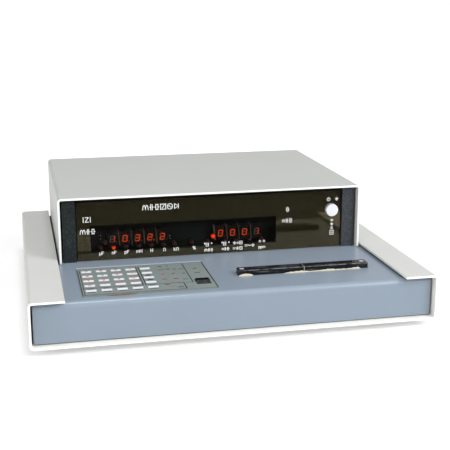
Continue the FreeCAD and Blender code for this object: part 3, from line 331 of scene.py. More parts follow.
# A strip's rings have four points: bottom left, bottom right, top left, top right.
STRIP_SIDES = ((0, 1), (1, 3), (3, 2), (2, 0))
STRIP_END = (0, 1, 3, 2)
TOWARDS_FRONT = Vector((0, -1, 0))
RING_STEPS, HUMP_STEPS, BEAD_STEPS = 16, 10, 6


def piece(name, bm, look, rides=BODY):
    """Turns a bmesh into a finished piece that rides on a CAD body."""
    bmesh.ops.remove_doubles(bm, verts=bm.verts, dist=WELD)
    bmesh.ops.recalc_face_normals(bm, faces=bm.faces)
    mesh = bpy.data.meshes.new(name)
    bm.to_mesh(mesh)
    bm.free()
    mesh.materials.append(look)
    made = bpy.data.objects.new(name, mesh)
    bpy.context.scene.collection.objects.link(made)
    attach(made, rides)


# What follows lays 2-D shapes on a surface by a function like these three, which turn a 2-D point
# and a height above the surface into a place.

def on_window(x, up, proud):
    return Vector((x, WINDOW_FACE - proud, up))


def on_module(x, up, proud):
    """On the digit modules' faces."""
    return Vector((x, DIGITS_LOW.y - proud, up))


def on_sheet(x, y, proud):
    """On the keypad sheet."""
    return Vector((x, y, OVERLAY_HIGH.z + proud))


def prism(bm, outline, lay, thick=PRINT):
    """A closed flat shape."""
    lower = [bm.verts.new(lay(x, y, 0.0)) for x, y in outline]
    upper = [bm.verts.new(lay(x, y, thick)) for x, y in outline]
    bm.faces.new(lower)
    bm.faces.new(upper)
    for i in range(len(outline)):
        j = (i + 1) % len(outline)
        bm.faces.new((lower[i], lower[j], upper[j], upper[i]))


def bar(bm, a, b, width, lay):
    """A straight stroke between two 2-D points."""
    a, b = Vector(a), Vector(b)
    along = (b - a).normalized() * width / 2
    side = Vector((-along.y, along.x))
    corners = (a - along + side, a - along - side, b + along - side, b + along + side)
    prism(bm, [tuple(c) for c in corners], lay)


def strip(bm, rings):
    """The sides of a strip through its rings. Its ends stay open."""
    for a, b in zip(rings, rings[1:]):
        for m, n in STRIP_SIDES:
            bm.faces.new((a[m], a[n], b[n], b[m]))


def ribbon(bm, points, width, lay, closed=False):
    """A curved stroke through 2-D points, as one closed strip."""
    points = [Vector(p) for p in points]
    count = len(points)
    sides = ([], [])
    for i, p in enumerate(points):
        before = points[i - 1] if closed or i else p
        after = points[(i + 1) % count] if closed or i < count - 1 else p
        run = (after - before).normalized() * width / 2
        sides[0].append(p + Vector((-run.y, run.x)))
        sides[1].append(p - Vector((-run.y, run.x)))
    rings = [[bm.verts.new(lay(q.x, q.y, h)) for h in (0.0, PRINT) for q in (left, right)]
             for left, right in zip(*sides)]
    strip(bm, rings + rings[:1] if closed else rings)
    if not closed:
        for end in (rings[0], rings[-1]):
            bm.faces.new([end[i] for i in STRIP_END])


def arc(centre, radius, start, end, steps):
    turn = [math.radians(start + (end - start) * i / steps) for i in range(steps + 1)]
    return [(centre[0] + radius * math.cos(t), centre[1] + radius * math.sin(t)) for t in turn]


def ring(centre, wide, tall):
    """A closed oval, as a stroke that ends where it starts."""
    turn = [2 * math.pi * i / RING_STEPS for i in range(RING_STEPS)]
    points = [(centre[0] + wide / 2 * math.cos(t), centre[1] + tall / 2 * math.sin(t))
              for t in turn]
    return points + points[:1]


def hump(x, wide, tall):
    """One turn of a coil sign, standing on the line."""
    turn = [math.pi * i / HUMP_STEPS for i in range(HUMP_STEPS + 1)]
    return [(x + wide / 2 * (1 - math.cos(t)), tall * math.sin(t)) for t in turn]


def bead(bm, line, heights, depths):
    """A quarter-round bead along a line on the deck, leaning on what stands behind it."""
    rings = []
    for spot, tall, deep in zip(line, heights, depths):
        corner = bm.verts.new(spot)
        turn = [math.pi / 2 * i / BEAD_STEPS for i in range(BEAD_STEPS + 1)]
        rim = [bm.verts.new(spot + TOWARDS_FRONT * deep * math.cos(t)
                            + Vector((0, 0, tall * math.sin(t)))) for t in turn]
        rings.append([corner] + rim)
    for a, b in zip(rings, rings[1:]):
        for i in range(len(a)):
            j = (i + 1) % len(a)
            bm.faces.new((a[i], a[j], b[j], b[i]))
    for end in (rings[0], rings[-1]):
        bm.faces.new(end)


# ---------------------------------------------------------------- digits and signs

SEGMENTS = {  # each segment of a digit: two ends on a grid one wide and two high
    "a": ((0, 2), (1, 2)), "b": ((1, 2), (1, 1)), "c": ((1, 1), (1, 0)), "d": ((0, 0), (1, 0)),
    "e": ((0, 1), (0, 0)), "f": ((0, 2), (0, 1)), "g": ((0, 1), (1, 1)),
}
DIGITS = {"0": "abcdef", "1": "bc", "2": "abged", "3": "abgcd"}


def segment(bm, name, centre, width, height, stroke, lay, slant, thick):
    """One pointed segment of a digit. slant is how far the digit leans per unit of height."""
    ends = [Vector((centre[0] + (x - 0.5) * width, centre[1] + (y - 1) * height / 2))
            for x, y in SEGMENTS[name]]
    along = (ends[1] - ends[0]).normalized()
    side = Vector((-along.y, along.x)) * stroke / 2
    gap = along * stroke * 0.12
    a, b = ends[0] + gap, ends[1] - gap
    tip = along * stroke / 2
    outline = (a, a + tip + side, b - tip + side, b, b - tip - side, a + tip - side)
    leaned = [(p.x + (p.y - centre[1]) * slant, p.y) for p in outline]
    prism(bm, leaned, lay, thick)


# Each sign is its width and its strokes, on a grid where a capital letter is 1 high.
SIGNS = {
    # letters of units and quantities: u is micro and O is the ohm sign
    "F": (0.55, [[(0, 0), (0, 1)], [(0, 0.95), (0.55, 0.95)], [(0, 0.5), (0.46, 0.5)]]),
    "H": (0.66, [[(0, 0), (0, 1)], [(0.66, 0), (0.66, 1)], [(0, 0.52), (0.66, 0.52)]]),
    "Z": (0.66, [[(0, 0.95), (0.66, 0.95)], [(0.64, 0.93), (0.02, 0.07)],
                 [(0, 0.05), (0.66, 0.05)]]),
    "n": (0.5, [[(0, 0), (0, 0.7)],
                [(0, 0.45), (0.1, 0.63), (0.26, 0.68), (0.42, 0.62), (0.5, 0.44), (0.5, 0)]]),
    "m": (0.84, [[(0, 0), (0, 0.7)],
                 [(0, 0.47), (0.1, 0.64), (0.24, 0.68), (0.37, 0.62), (0.42, 0.46), (0.42, 0)],
                 [(0.42, 0.47), (0.52, 0.64), (0.66, 0.68), (0.79, 0.62), (0.84, 0.46),
                  (0.84, 0)]]),
    "p": (0.54, [[(0, -0.3), (0, 0.7)], ring((0.27, 0.34), 0.54, 0.68)]),
    "u": (0.52, [[(0, -0.3), (0, 0.7)],
                 [(0, 0.24), (0.08, 0.06), (0.24, 0), (0.42, 0.08), (0.52, 0.26)],
                 [(0.52, 0), (0.52, 0.7)]]),
    "k": (0.48, [[(0, 0), (0, 1)], [(0, 0.28), (0.44, 0.7)], [(0.15, 0.4), (0.48, 0)]]),
    "O": (0.86, [[(0, 0.04), (0.27, 0.04), (0.12, 0.28), (0.04, 0.55), (0.13, 0.82), (0.3, 0.96),
                  (0.43, 1), (0.56, 0.96), (0.73, 0.82), (0.82, 0.55), (0.74, 0.28), (0.59, 0.04),
                  (0.86, 0.04)]]),
    # angle, modulus, percent and small marks
    "t": (0.6, [ring((0.3, 0.5), 0.56, 1.0), [(0.04, 0.5), (0.56, 0.5)]]),
    "|": (0.24, [[(0.12, 0), (0.12, 1)]]),
    "%": (0.9, [[(0.16, -0.02), (0.74, 1.02)], ring((0.17, 0.76), 0.32, 0.42),
                ring((0.73, 0.24), 0.32, 0.42)]),
    "'": (0.3, [[(0.05, 0.72), (0.02, 1.05)], [(0.25, 0.72), (0.22, 1.05)]]),
    "-": (0.5, [[(0, 0.45), (0.5, 0.45)]]),
    "=": (0.7, [[(0, 0.68), (0.7, 0.68)], [(0, 0.3), (0.7, 0.3)]]),
    "+": (0.6, [[(0, 0.5), (0.6, 0.5)], [(0.3, 0.2), (0.3, 0.8)]]),
    ".": (0.14, [[(0.0, 0.07), (0.14, 0.07)]]),
    "~": (0.8, [[(0, 0.4), (0.12, 0.62), (0.26, 0.66), (0.4, 0.5), (0.54, 0.34), (0.68, 0.38),
                 (0.8, 0.6)]]),
    "o": (0.6, [ring((0.3, 0.5), 0.6, 0.6)]),
    " ": (0.35, []),
    # circuit signs: a boxed bar, a coil, a capacitor, a resistor, a meter, a source of
    # alternating current, a diode, a power switch and earth
    "[": (0.8, [[(0, 0.03), (0.8, 0.03)], [(0, 0.97), (0.8, 0.97)], [(0, 0), (0, 1)],
                [(0.8, 0), (0.8, 1)], [(0.18, 0.5), (0.62, 0.5)]]),
    "c": (1.0, [hump(0, 0.5, 0.9), hump(0.5, 0.5, 0.9)]),
    "C": (0.7, [[(0, 0.5), (0.22, 0.5)], [(0.22, 0), (0.22, 1)], [(0.48, 0), (0.48, 1)],
                [(0.48, 0.5), (0.7, 0.5)]]),
    "R": (0.8, [[(0, 0.5), (0.2, 0.5)], [(0.2, 0.05), (0.6, 0.05)], [(0.2, 0.95), (0.6, 0.95)],
                [(0.2, 0), (0.2, 1)], [(0.6, 0), (0.6, 1)], [(0.6, 0.5), (0.8, 0.5)]]),
    "M": (1.0, [[(0, 0.03), (1, 0.03)], [(0, 0.97), (1, 0.97)], [(0.03, 0), (0.03, 1)],
                [(0.97, 0), (0.97, 1)], [(0.3, 0.22), (0.72, 0.8)]]),
    "W": (1.0, [ring((0.5, 0.5), 1.0, 1.0),
                [(0.2, 0.5), (0.35, 0.72), (0.5, 0.5), (0.65, 0.28), (0.8, 0.5)]]),
    "K": (0.9, [[(0.1, 0.05), (0.1, 0.95)], [(0.1, 0.95), (0.78, 0.5), (0.1, 0.05)],
                [(0.8, 0.1), (0.8, 0.9)]]),
    "P": (1.0, [arc((0.5, 0.45), 0.45, 120, 420, 18), [(0.5, 0.5), (0.5, 1.05)]]),
    "E": (1.0, [[(0.5, 0.6), (0.5, 1.0)], [(0, 0.6), (1, 0.6)], [(0.18, 0.33), (0.82, 0.33)],
                [(0.36, 0.06), (0.64, 0.06)]]),
    # the figures on the keys
    "1": (0.3, [[(0.02, 0.76), (0.24, 0.97)], [(0.24, 0), (0.24, 1)]]),
    "2": (0.58, [[(0, 0.72), (0.08, 0.92), (0.28, 1), (0.48, 0.92), (0.55, 0.72), (0.44, 0.48),
                  (0, 0.05)], [(0, 0.05), (0.58, 0.05)]]),
    "3": (0.56, [[(0, 0.85), (0.2, 1), (0.42, 0.96), (0.5, 0.76), (0.4, 0.56), (0.2, 0.52)],
                 [(0.2, 0.52), (0.46, 0.46), (0.56, 0.26), (0.44, 0.05), (0.22, 0), (0, 0.14)]]),
    "4": (0.6, [[(0.45, 0), (0.45, 1)], [(0.45, 0.98), (0, 0.3)], [(0, 0.28), (0.6, 0.28)]]),
    "5": (0.56, [[(0.08, 0.95), (0.52, 0.95)], [(0.08, 0.97), (0.02, 0.5)],
                 [(0.02, 0.52), (0.26, 0.6), (0.5, 0.5), (0.56, 0.28), (0.42, 0.04), (0.2, 0),
                  (0, 0.12)]]),
    "6": (0.58, [[(0.5, 0.92), (0.28, 1), (0.08, 0.8), (0, 0.4)], ring((0.29, 0.3), 0.58, 0.6)]),
    "7": (0.56, [[(0, 0.95), (0.56, 0.95)], [(0.54, 0.93), (0.18, 0)]]),
    "8": (0.58, [ring((0.29, 0.76), 0.48, 0.46), ring((0.29, 0.27), 0.58, 0.54)]),
    "9": (0.58, [ring((0.29, 0.7), 0.58, 0.6), [(0.58, 0.6), (0.5, 0.2), (0.3, 0), (0.08, 0.08)]]),
    "0": (0.58, [ring((0.29, 0.5), 0.58, 1.0)]),
}
SIGN_GAP = 0.24
# a mark of an unreadable legend: half its share of its step, and its share of the full height
MARK_HALF, MARK_HEIGHT = (0.32, 0.43), (0.75, 1.0)


def write(bm, text, centre, height, stroke, lay, widen=1.0):
    """Signs in a row about a centre."""
    total = sum(SIGNS[c][0] for c in text) + SIGN_GAP * (len(text) - 1)
    x = centre[0] - total * height * widen / 2
    for sign in text:
        advance, strokes = SIGNS[sign]
        for points in strokes:
            spots = [(x + px * height * widen, centre[1] + (py - 0.5) * height)
                     for px, py in points]
            if len(spots) == 2:
                bar(bm, *spots, stroke, lay)
            elif points[0] == points[-1]:
                ribbon(bm, spots[:-1], stroke, lay, closed=True)
            else:
                ribbon(bm, spots, stroke, lay)
        x += (advance + SIGN_GAP) * height * widen


def word(bm, centre, length, count, height):
    """A legend on the keypad sheet, too small to read: a few marks of uneven length and height."""
    step = length / count
    for i in range(count):
        half = step * random.uniform(*MARK_HALF)
        tall = height / 2 * random.uniform(*MARK_HEIGHT)
        x, y = centre[0] - length / 2 + step * (i + 0.5), centre[1]
        prism(bm, [(x - half, y - tall), (x + half, y - tall), (x + half, y + tall),
                   (x - half, y + tall)], on_sheet)


# ---------------------------------------------------------------- the finishes

# place, then how far from it the lamp glows fully and where the glow ends
LIT_LAMPS = ((place(-99.4, 137.9, 48.1), 1.3 * MM, 3.8 * MM),
             (place(2.6, 138, 54.8), 3.4 * MM, 4.2 * MM))
SHEET_ENDS = (FRONT_EDGE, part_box("display_hood")[0].y)
# paler enamel for inward-facing walls and the low ledge, which is painted light
PAINTED_LIGHT_ENAMEL = (0.86, 0.85, 0.80)
# the slate's own colour, then a paler one for the right trim, which is painted light
SLATE, PAINTED_LIGHT_SLATE = (0.0085, 0.0128, 0.0132), (0.041, 0.046, 0.052)

wrap_enamel = painted("wrap_enamel", (0.60, 0.605, 0.585), 0.45, 0.10, 0.015,
                      edges=SHEET_ENDS, inner=PAINTED_LIGHT_ENAMEL)
hood_enamel = painted("hood_enamel", (0.485, 0.495, 0.482), 0.45, 0.10, 0.015,
                      edges=SHEET_ENDS, inner=PAINTED_LIGHT_ENAMEL)
deck_enamel = painted("deck_enamel", (0.240, 0.294, 0.358), 0.30, 0.06, 0.02)
slate_enamel = painted("slate_enamel", SLATE, 0.6, 0.5, 0.2, specks=True, right=PAINTED_LIGHT_SLATE,
                       Specular_IOR_Level=0.3)
rear_enamel = painted("rear_enamel", (0.235, 0.285, 0.355), 0.5, 0.12, 0.03)
mask_paint = painted("mask_paint", (0.02, 0.018, 0.012), 0.6, 0.3, 0.08, Specular_IOR_Level=0.2)
acrylic = smoked_acrylic()
film = backing_film()
board = circuit_board("circuit_board", (0.010, 0.090, 0.033), (0.020, 0.160, 0.053),
                      Coat_Weight=0.3)
dark_board = circuit_board("dark_board", (0.003, 0.004, 0.003), (0.006, 0.008, 0.006),
                           Specular_IOR_Level=0.15)
core_steel = laminated_core()
module_black = moulded("module_black", (0.004, 0.003, 0.003), 0.35, Specular_IOR_Level=0.12)
overlay_film = moulded("overlay_film", (0.212, 0.255, 0.248), 0.42, 0.06, 2400, 0.03)
key_plastic = moulded("key_plastic", (0.80, 0.81, 0.86), 0.4, 0.08, 1800, 0.02)
black_plastic = moulded("black_plastic", (0.02, 0.02, 0.021), 0.5, 0.25)
start_plastic = moulded("start_plastic", (0.007, 0.008, 0.010), 0.12, 0.05, Specular_IOR_Level=0.4)
power_plastic = moulded("power_plastic", (0.80, 0.80, 0.84), 0.3, 0.05)
phenolic = phenolic_wear_and_painted_highlight()
gasket_foam = moulded("gasket_foam", (0.045, 0.05, 0.055), 0.8, 0.6, 1200, 0.08)
sealant = moulded("sealant", (0.62, 0.57, 0.43), 0.6, 0.8, 700, 0.12)
old_glue = moulded("old_glue", (0.14, 0.072, 0.020), 0.5, 0.5, 600, 0.35)
foot_rubber = moulded("foot_rubber", (0.018, 0.018, 0.018), 0.75, 0.4)
nylon = moulded("nylon", (0.02, 0.02, 0.02), 0.5)
sleeve = moulded("sleeve", (0.012, 0.03, 0.11), 0.3)
cable_grey = moulded("cable_grey", (0.3, 0.3, 0.31), 0.5)
plated = brushed("plated", (0.62, 0.60, 0.55), 0.35)
bright_plate = brushed("bright_plate", (0.92, 0.86, 0.82), 0.6)
guard_metal = brushed("guard_metal", (0.55, 0.54, 0.5), 0.4)
contact_gold = brushed("contact_gold", (0.72, 0.6, 0.36), 0.3)
aluminium = brushed("aluminium", (0.7, 0.71, 0.72), 0.4)
lamps = lamp_lenses("lamps", LIT_LAMPS)
pad_lamps = moulded("pad_lamps", (0.42, 0.20, 0.19), 0.3)
# the white legends glow faintly, a painted highlight that makes them brighter
white_print_painted_glow = moulded("white_print_painted_glow", (1.0, 1.0, 0.98), 0.5, mottling=0.02,
                      Emission_Color=(1, 1, 1, 1), Emission_Strength=0.15)
black_print = moulded("black_print", (0.008, 0.009, 0.009), 0.6, Specular_IOR_Level=0.3)
red_print = moulded("red_print", (0.50, 0.12, 0.065), 0.6, Specular_IOR_Level=0.3)
pink_print = moulded("pink_print", (0.42, 0.20, 0.19), 0.5)
eyelet_metal = brushed("eyelet_metal", (0.42, 0.33, 0.24), 0.45)
key_ink = moulded("key_ink", (0.10, 0.11, 0.15), 0.5)
partition_plastic = moulded("partition_plastic", (0.20, 0.155, 0.075), 0.4)
segment_lit = glowing("segment_lit", (0.88, 0.070, 0.004), srgb(110, 20, 5))
segment_dark = moulded("segment_dark", (0.11, 0.07, 0.042), 0.4)
solder = moulded("solder", (0.55, 0.36, 0.10), 0.3)


# ---------------------------------------------------------------- the CAD nodes

# nodes whose hard edges are broken, and how wide
SOFT_EDGES = (("base_wrap", 0.35), ("display_hood", 0.45), ("display_side_trims", 0.3),
              ("display_window", 0.15), ("keypad_overlay", 0.15), ("mains_inlet", 0.4),
              ("power_switch", 0.4), ("digit_displays", 0.25))


def soften(node, width):
    """Breaks a CAD node's hard edges so that they catch the light."""
    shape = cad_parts[node]
    weld = shape.modifiers.new("weld", "WELD")
    weld.merge_threshold = WELD
    edge = shape.modifiers.new("edge", "BEVEL")
    edge.width = width
    edge.segments = 2
    edge.limit_method = "ANGLE"
    edge.angle_limit = math.radians(40)
    normals = shape.modifiers.new("normals", "WEIGHTED_NORMAL")
    normals.keep_sharp = False


def dress(look, *nodes):
    for node in nodes:
        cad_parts[node].data.materials.clear()
        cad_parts[node].data.materials.append(look)


def dress_frame():
    dress(wrap_enamel, "base_wrap")
    dress(hood_enamel, "display_hood")
    dress(deck_enamel, "deck_cover")
    dress(rear_enamel, "rear_panel")
    dress(slate_enamel, "display_side_trims")
    dress(acrylic, "display_window")
    dress(mask_paint, "display_mask")
    dress(dark_board, "display_board")
    dress(board, "keypad_board", "main_board")
    dress(module_black, "digit_displays")
    dress(lamps, "indicator_leds")
    dress(pad_lamps, "keypad_leds")
    dress(overlay_film, "keypad_overlay")
    dress(key_plastic, *(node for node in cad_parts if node.startswith("key_row")))
    dress(black_plastic, "key_switches", "power_switch", "board_chips", "mains_inlet",
          "fuse_holder")
    dress(start_plastic, "start_button")
    dress(power_plastic, "power_button")
    dress(phenolic, "fixture_jaw_left", "fixture_jaw_right")
    dress(guard_metal, "fixture_divider")
    dress(contact_gold, "fixture_contacts")
    dress(gasket_foam, "fixture_gasket")
    dress(foot_rubber, "feet")
    dress(plated, "foot_screws", "panel_screws")
    dress(bright_plate, "fixture_screws")
    dress(nylon, "board_standoffs")
    dress(core_steel, "power_transformer")
    dress(sleeve, "smoothing_capacitors")
    dress(aluminium, "regulator_heatsink")
    dress(cable_grey, "ribbon_cables")
    for node, width in SOFT_EDGES:
        soften(node, width * MM)


# ---------------------------------------------------------------- the display

MODULE_HALF, DIGIT_PITCH = 5.1 * MM, 12.6 * MM
DIGIT_WIDTH, DIGIT_HEIGHT, DIGIT_STROKE = 4.2 * MM, 6.1 * MM, 0.76 * MM
DIGIT_SLANT, DIGIT_THICK, POINT_RADIUS = 0.1, 0.1 * MM, 0.55 * MM
# the plates between the modules: their low and high ends, how far they stand right of the middle
# between two modules, how far each end leans from there, and half their thickness
PLATE_LOW, PLATE_HIGH = place(0, 0, 51.0).z, place(0, 0, 66.5).z
PLATE_SHIFT, PLATE_LEAN, PLATE_HALF = 0.45 * MM, 0.55 * MM, 0.12 * MM
SOLDER_SPOTS = ((-111.7, 60.5), (-111.8, 56.8), (-41.3, 56.4), (-41.1, 53.7))
# the opening that the window's print leaves, in millimetres, and how far the print stays from the
# window's sides and top
OPENING_LEFT, OPENING_RIGHT, OPENING_LOW, OPENING_HIGH = -122.9, 67.2, 46.9, 74.6
PRINT_SIDE, PRINT_TOP = 1.2 * MM, 4.0 * MM

UNIT_SIGNS = (("uF", -112.6), ("nF", -100.1), ("pF", -87.5), ("mH", -75.0), ("H", -62.6),
              ("O", -49.6), ("kO", -37.6), ("%", -19.3))
UNIT_UP, UNIT_HEIGHT, UNIT_STROKE = 46.9, 3.1, 0.47
# signs, x, up, height: under the range lamps, the title, beside the readings, and about the button
WINDOW_SIGNS = (
    ("'[ '", -4.8, 49.4, 3.3), ("cCR", -4.4, 43.8, 2.9),
    ("'[ '", 13.2, 49.4, 3.3), ("oCR", 13.2, 43.8, 2.9),
    ("E=[", 25.8, 49.6, 3.2), ("=E[", 25.8, 43.8, 3.2),
    ("=~E", 38.6, 46.2, 3.3),
    ("o o", 51.4, 49.8, 3.0), ("ppm", 51.4, 43.8, 2.8),
    ("cCRMWK", -52.6, 91.2, 5.5), ("|Z|", -126.0, 81.7, 5.0), ("cCR", -125.6, 69.6, 4.9),
    ("t", 78.2, 81.7, 4.4), ("oCR", 78.0, 70.0, 4.0),
    ("P", 122.0, 90.4, 3.6), ("E", 130.8, 90.4, 3.4),
    ("=", 126.2, 68.0, 3.4), ("E", 126.2, 63.8, 3.0), ("o", 126.2, 59.8, 3.4),
    ("[", 126.2, 54.9, 4.6),
)
LEAST_STROKE, STROKE_SHARE = 0.46, 0.105


def module_columns():
    """The middle of each digit module, left group then right group."""
    left = DIGITS_LOW.x + MODULE_HALF
    right = DIGITS_HIGH.x - MODULE_HALF - (len(RIGHT_READING) - 1) * DIGIT_PITCH
    return ([left + i * DIGIT_PITCH for i in range(len(LEFT_READING))],
            [right + i * DIGIT_PITCH for i in range(len(RIGHT_READING))])


def digits():
    """Lit and unlit segments of the two readings, and the decimal points."""
    lit, dark = bmesh.new(), bmesh.new()
    middle = (DIGITS_LOW.z + DIGITS_HIGH.z) / 2
    columns = sum(module_columns(), [])
    for i, (x, value) in enumerate(zip(columns, LEFT_READING + RIGHT_READING)):
        for name in SEGMENTS:
            target = lit if name in DIGITS[value] else dark
            segment(target, name, (x, middle), DIGIT_WIDTH, DIGIT_HEIGHT, DIGIT_STROKE, on_module,
                    DIGIT_SLANT, DIGIT_THICK)
        target = lit if i == POINT_AFTER else dark
        centre = (x + DIGIT_WIDTH * 0.95, middle - DIGIT_HEIGHT / 2)
        prism(target, arc(centre, POINT_RADIUS, 0, 330, 11), on_module, DIGIT_THICK)
    piece("digit_segments_lit", lit, segment_lit)
    piece("digit_segments_dark", dark, segment_dark)


def partitions():
    """Thin plates between the digit modules, which lean a little, from the modules' faces to the
    board."""
    bm = bmesh.new()
    front, back = DIGITS_LOW.y - 0.3 * MM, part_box("display_board")[0].y
    left, right = module_columns()
    for x in left[:-1] + [right[0] - DIGIT_PITCH] + right[:-1]:
        middle = x + DIGIT_PITCH / 2 + PLATE_SHIFT
        rings = [[bm.verts.new((middle + shift + side * PLATE_HALF, y, z))
                  for y in (front, back) for side in (-1, 1)]
                 for z, shift in ((PLATE_LOW, PLATE_LEAN), (PLATE_HIGH, -PLATE_LEAN))]
        strip(bm, rings)
        for end in rings:
            bm.faces.new([end[i] for i in STRIP_END])
    piece("digit_partitions", bm, partition_plastic)


def solder_spots():
    """Bare joints beside the left group of modules, which show as dim yellow dots."""
    bm = bmesh.new()
    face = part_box("display_board")[0].y
    size = Matrix.Diagonal((0.5 * MM, 0.35 * MM, 0.5 * MM, 1))
    for x, up in SOLDER_SPOTS:
        spot = place(x, 0, up)
        dome = Matrix.Translation((spot.x, face, spot.z)) @ size
        bmesh.ops.create_icosphere(bm, subdivisions=2, radius=1, matrix=dome)
    piece("board_solder_spots", bm, solder)


def backing():
    """The print on the back of the window: a frame round the display's opening, with a hole for
    the mains button."""
    bm = bmesh.new()
    low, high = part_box("display_window")
    front, thick = high.y + 0.02 * MM, 0.08 * MM
    left, right = low.x + PRINT_SIDE, high.x - PRINT_SIDE
    outer = [(left, low.z), (right, low.z), (right, high.z - PRINT_TOP), (left, high.z - PRINT_TOP)]
    inner = [tuple(place(x, 0, up).xz) for x, up in (
        (OPENING_LEFT, OPENING_LOW), (OPENING_RIGHT, OPENING_LOW),
        (OPENING_RIGHT, OPENING_HIGH), (OPENING_LEFT, OPENING_HIGH))]
    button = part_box("power_button")
    middle = ((button[0].x + button[1].x) / 2, (button[0].z + button[1].z) / 2)
    hole = arc(middle, button[1].x - middle[0] + 0.4 * MM, 0, 352.5, 47)
    loops = [[bm.verts.new((x, front, z)) for x, z in line] for line in (outer, inner, hole)]
    edges = [bm.edges.new((loop[i], loop[(i + 1) % len(loop)])) for loop in loops
             for i in range(len(loop))]
    bmesh.ops.triangle_fill(bm, use_beauty=True, use_dissolve=False, edges=edges)
    behind = {v: bm.verts.new(v.co + Vector((0, thick, 0))) for v in list(bm.verts)}
    for face in list(bm.faces):
        bm.faces.new([behind[v] for v in face.verts])
    for a, b in [edge.verts for edge in edges]:
        bm.faces.new((a, b, behind[b], behind[a]))
    piece("window_backing", bm, film)


def window_print():
    """White legends on the window's face: units, quantity signs and circuit signs."""
    bm = bmesh.new()
    for text, x in UNIT_SIGNS:
        spot = tuple(place(x, 0, UNIT_UP).xz)
        write(bm, text, spot, UNIT_HEIGHT * MM, UNIT_STROKE * MM, on_window)
    for text, x, up, height in WINDOW_SIGNS:
        stroke = max(LEAST_STROKE, height * STROKE_SHARE)
        write(bm, text, tuple(place(x, 0, up).xz), height * MM, stroke * MM, on_window)
    piece("window_legends", bm, white_print_painted_glow)


# ---------------------------------------------------------------- the keypad

# dark lines on the sheet, as x and setback of both ends, and their width
PAD_LINES = (
    ((-139.1, 20), (-139.1, 98.6), 0.7), ((-137.3, 21), (-137.3, 97), 0.6),
    ((-83.3, 40.4), (-83.3, 97.5), 0.9), ((-80.8, 40.4), (-80.8, 97.5), 0.9),
    ((-137.5, 40.4), (-83.3, 40.4), 0.8), ((-80.9, 40.4), (-46, 40.4), 0.8),
    ((-46, 40.4), (-46, 22.5), 0.9), ((-43.6, 40.0), (-37.4, 40.0), 0.8),
    ((-37.4, 40.0), (-37.4, 99), 0.8), ((-137.5, 22.0), (-46, 22.0), 0.7),
    ((-138, 100.9), (-18, 100.9), 0.4), ((-17.8, 20), (-17.8, 101.5), 1.0),
    ((-139.1, 19.6), (-18, 19.6), 0.4),
)
# legends behind the keys of the four-by-four block: length, and number of marks
RED_WORDS = (((4.4, 4), (4.6, 4), (4.2, 3), (4.6, 4)), ((4.4, 4), None, (4.2, 3), (4.4, 3)),
             ((9.2, 6), (4.4, 4), (3.6, 3), (7.6, 5)), ((6.6, 4), (7.0, 4), (9.0, 6), (5.2, 4)))
# legends before and behind each key of the front row: distance, length and number of marks
FRONT_ROW_WORDS = ((-4.9, 6.6, 4), (5.0, 5.4, 3))
# the legend behind each other key of the last column: length and height
LAST_COLUMN_WORDS = ((3.0, 1.0), (2.2, 1.6), (4.9, 3.6), (5.2, 3.6))
# legends among the keypad's lamps, as x, setback, length and number of marks
LAMP_WORDS = (
    (-60.3, 94.9, 4.6, 2), (-52.8, 95.5, 2.6, 1), (-60.6, 83.2, 6.0, 3), (-53.6, 84.5, 4.6, 3),
    (-47.6, 83.3, 3.6, 2), (-41.5, 82.4, 5.6, 3), (-61.1, 69.2, 3.0, 1), (-51.2, 69.0, 2.6, 1),
    (-41.0, 68.2, 3.2, 2), (-61.4, 53.6, 5.2, 3), (-51.1, 53.4, 5.2, 3), (-42.3, 50.0, 5.4, 3),
    (-61.6, 37.2, 5.0, 3), (-50.8, 27.6, 5.2, 3), (-28.0, 81.4, 4.0, 2), (-28.0, 66.9, 6.0, 3),
)
# pale red bars behind the lamps, as x, setback and length
PINK_BARS = (
    (-61, 85.6, 3.2), (-50.8, 85.4, 3.6), (-42.8, 76.4, 3.0), (-60.8, 71.6, 3.8),
    (-60.9, 57.0, 4.2), (-50.9, 56.2, 4.2), (-41.6, 60.4, 3.2), (-51, 43.6, 4.0),
    (-61.5, 28.6, 4.4), (-28, 74.6, 3.2), (-28, 60.9, 3.2),
)
RED_HEIGHT, FRONT_ROW_HEIGHT, LAMP_WORD_HEIGHT, PINK_HEIGHT = 2.2, 1.7, 2.0, 1.6
LAMP_WORD_SHARE = 0.95
KEY_SIGNS = ("789+", "456-", "123=", "0.  ")
KEY_SIGN_HEIGHT, KEY_SIGN_STROKE, KEY_SIGN_WIDEN = 3.4, 0.55, 1.2
RIDGE_TALL, RIDGE_DEEP, RIDGE_GAP = 1.8 * MM, 0.9 * MM, 1.0 * MM
GLUE_LEFT, GLUE_LENGTH, GLUE_STEPS = -118, 27, 24


def on_pad(x, back):
    """Millimetres on the keypad sheet as a 2-D point."""
    return tuple(place(x, back, 0).xy)


def key_centre(row, column):
    """The middle of a key, and its top."""
    low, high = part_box(f"key_row{row}_col{column}")
    return (low + high) / 2, high.z


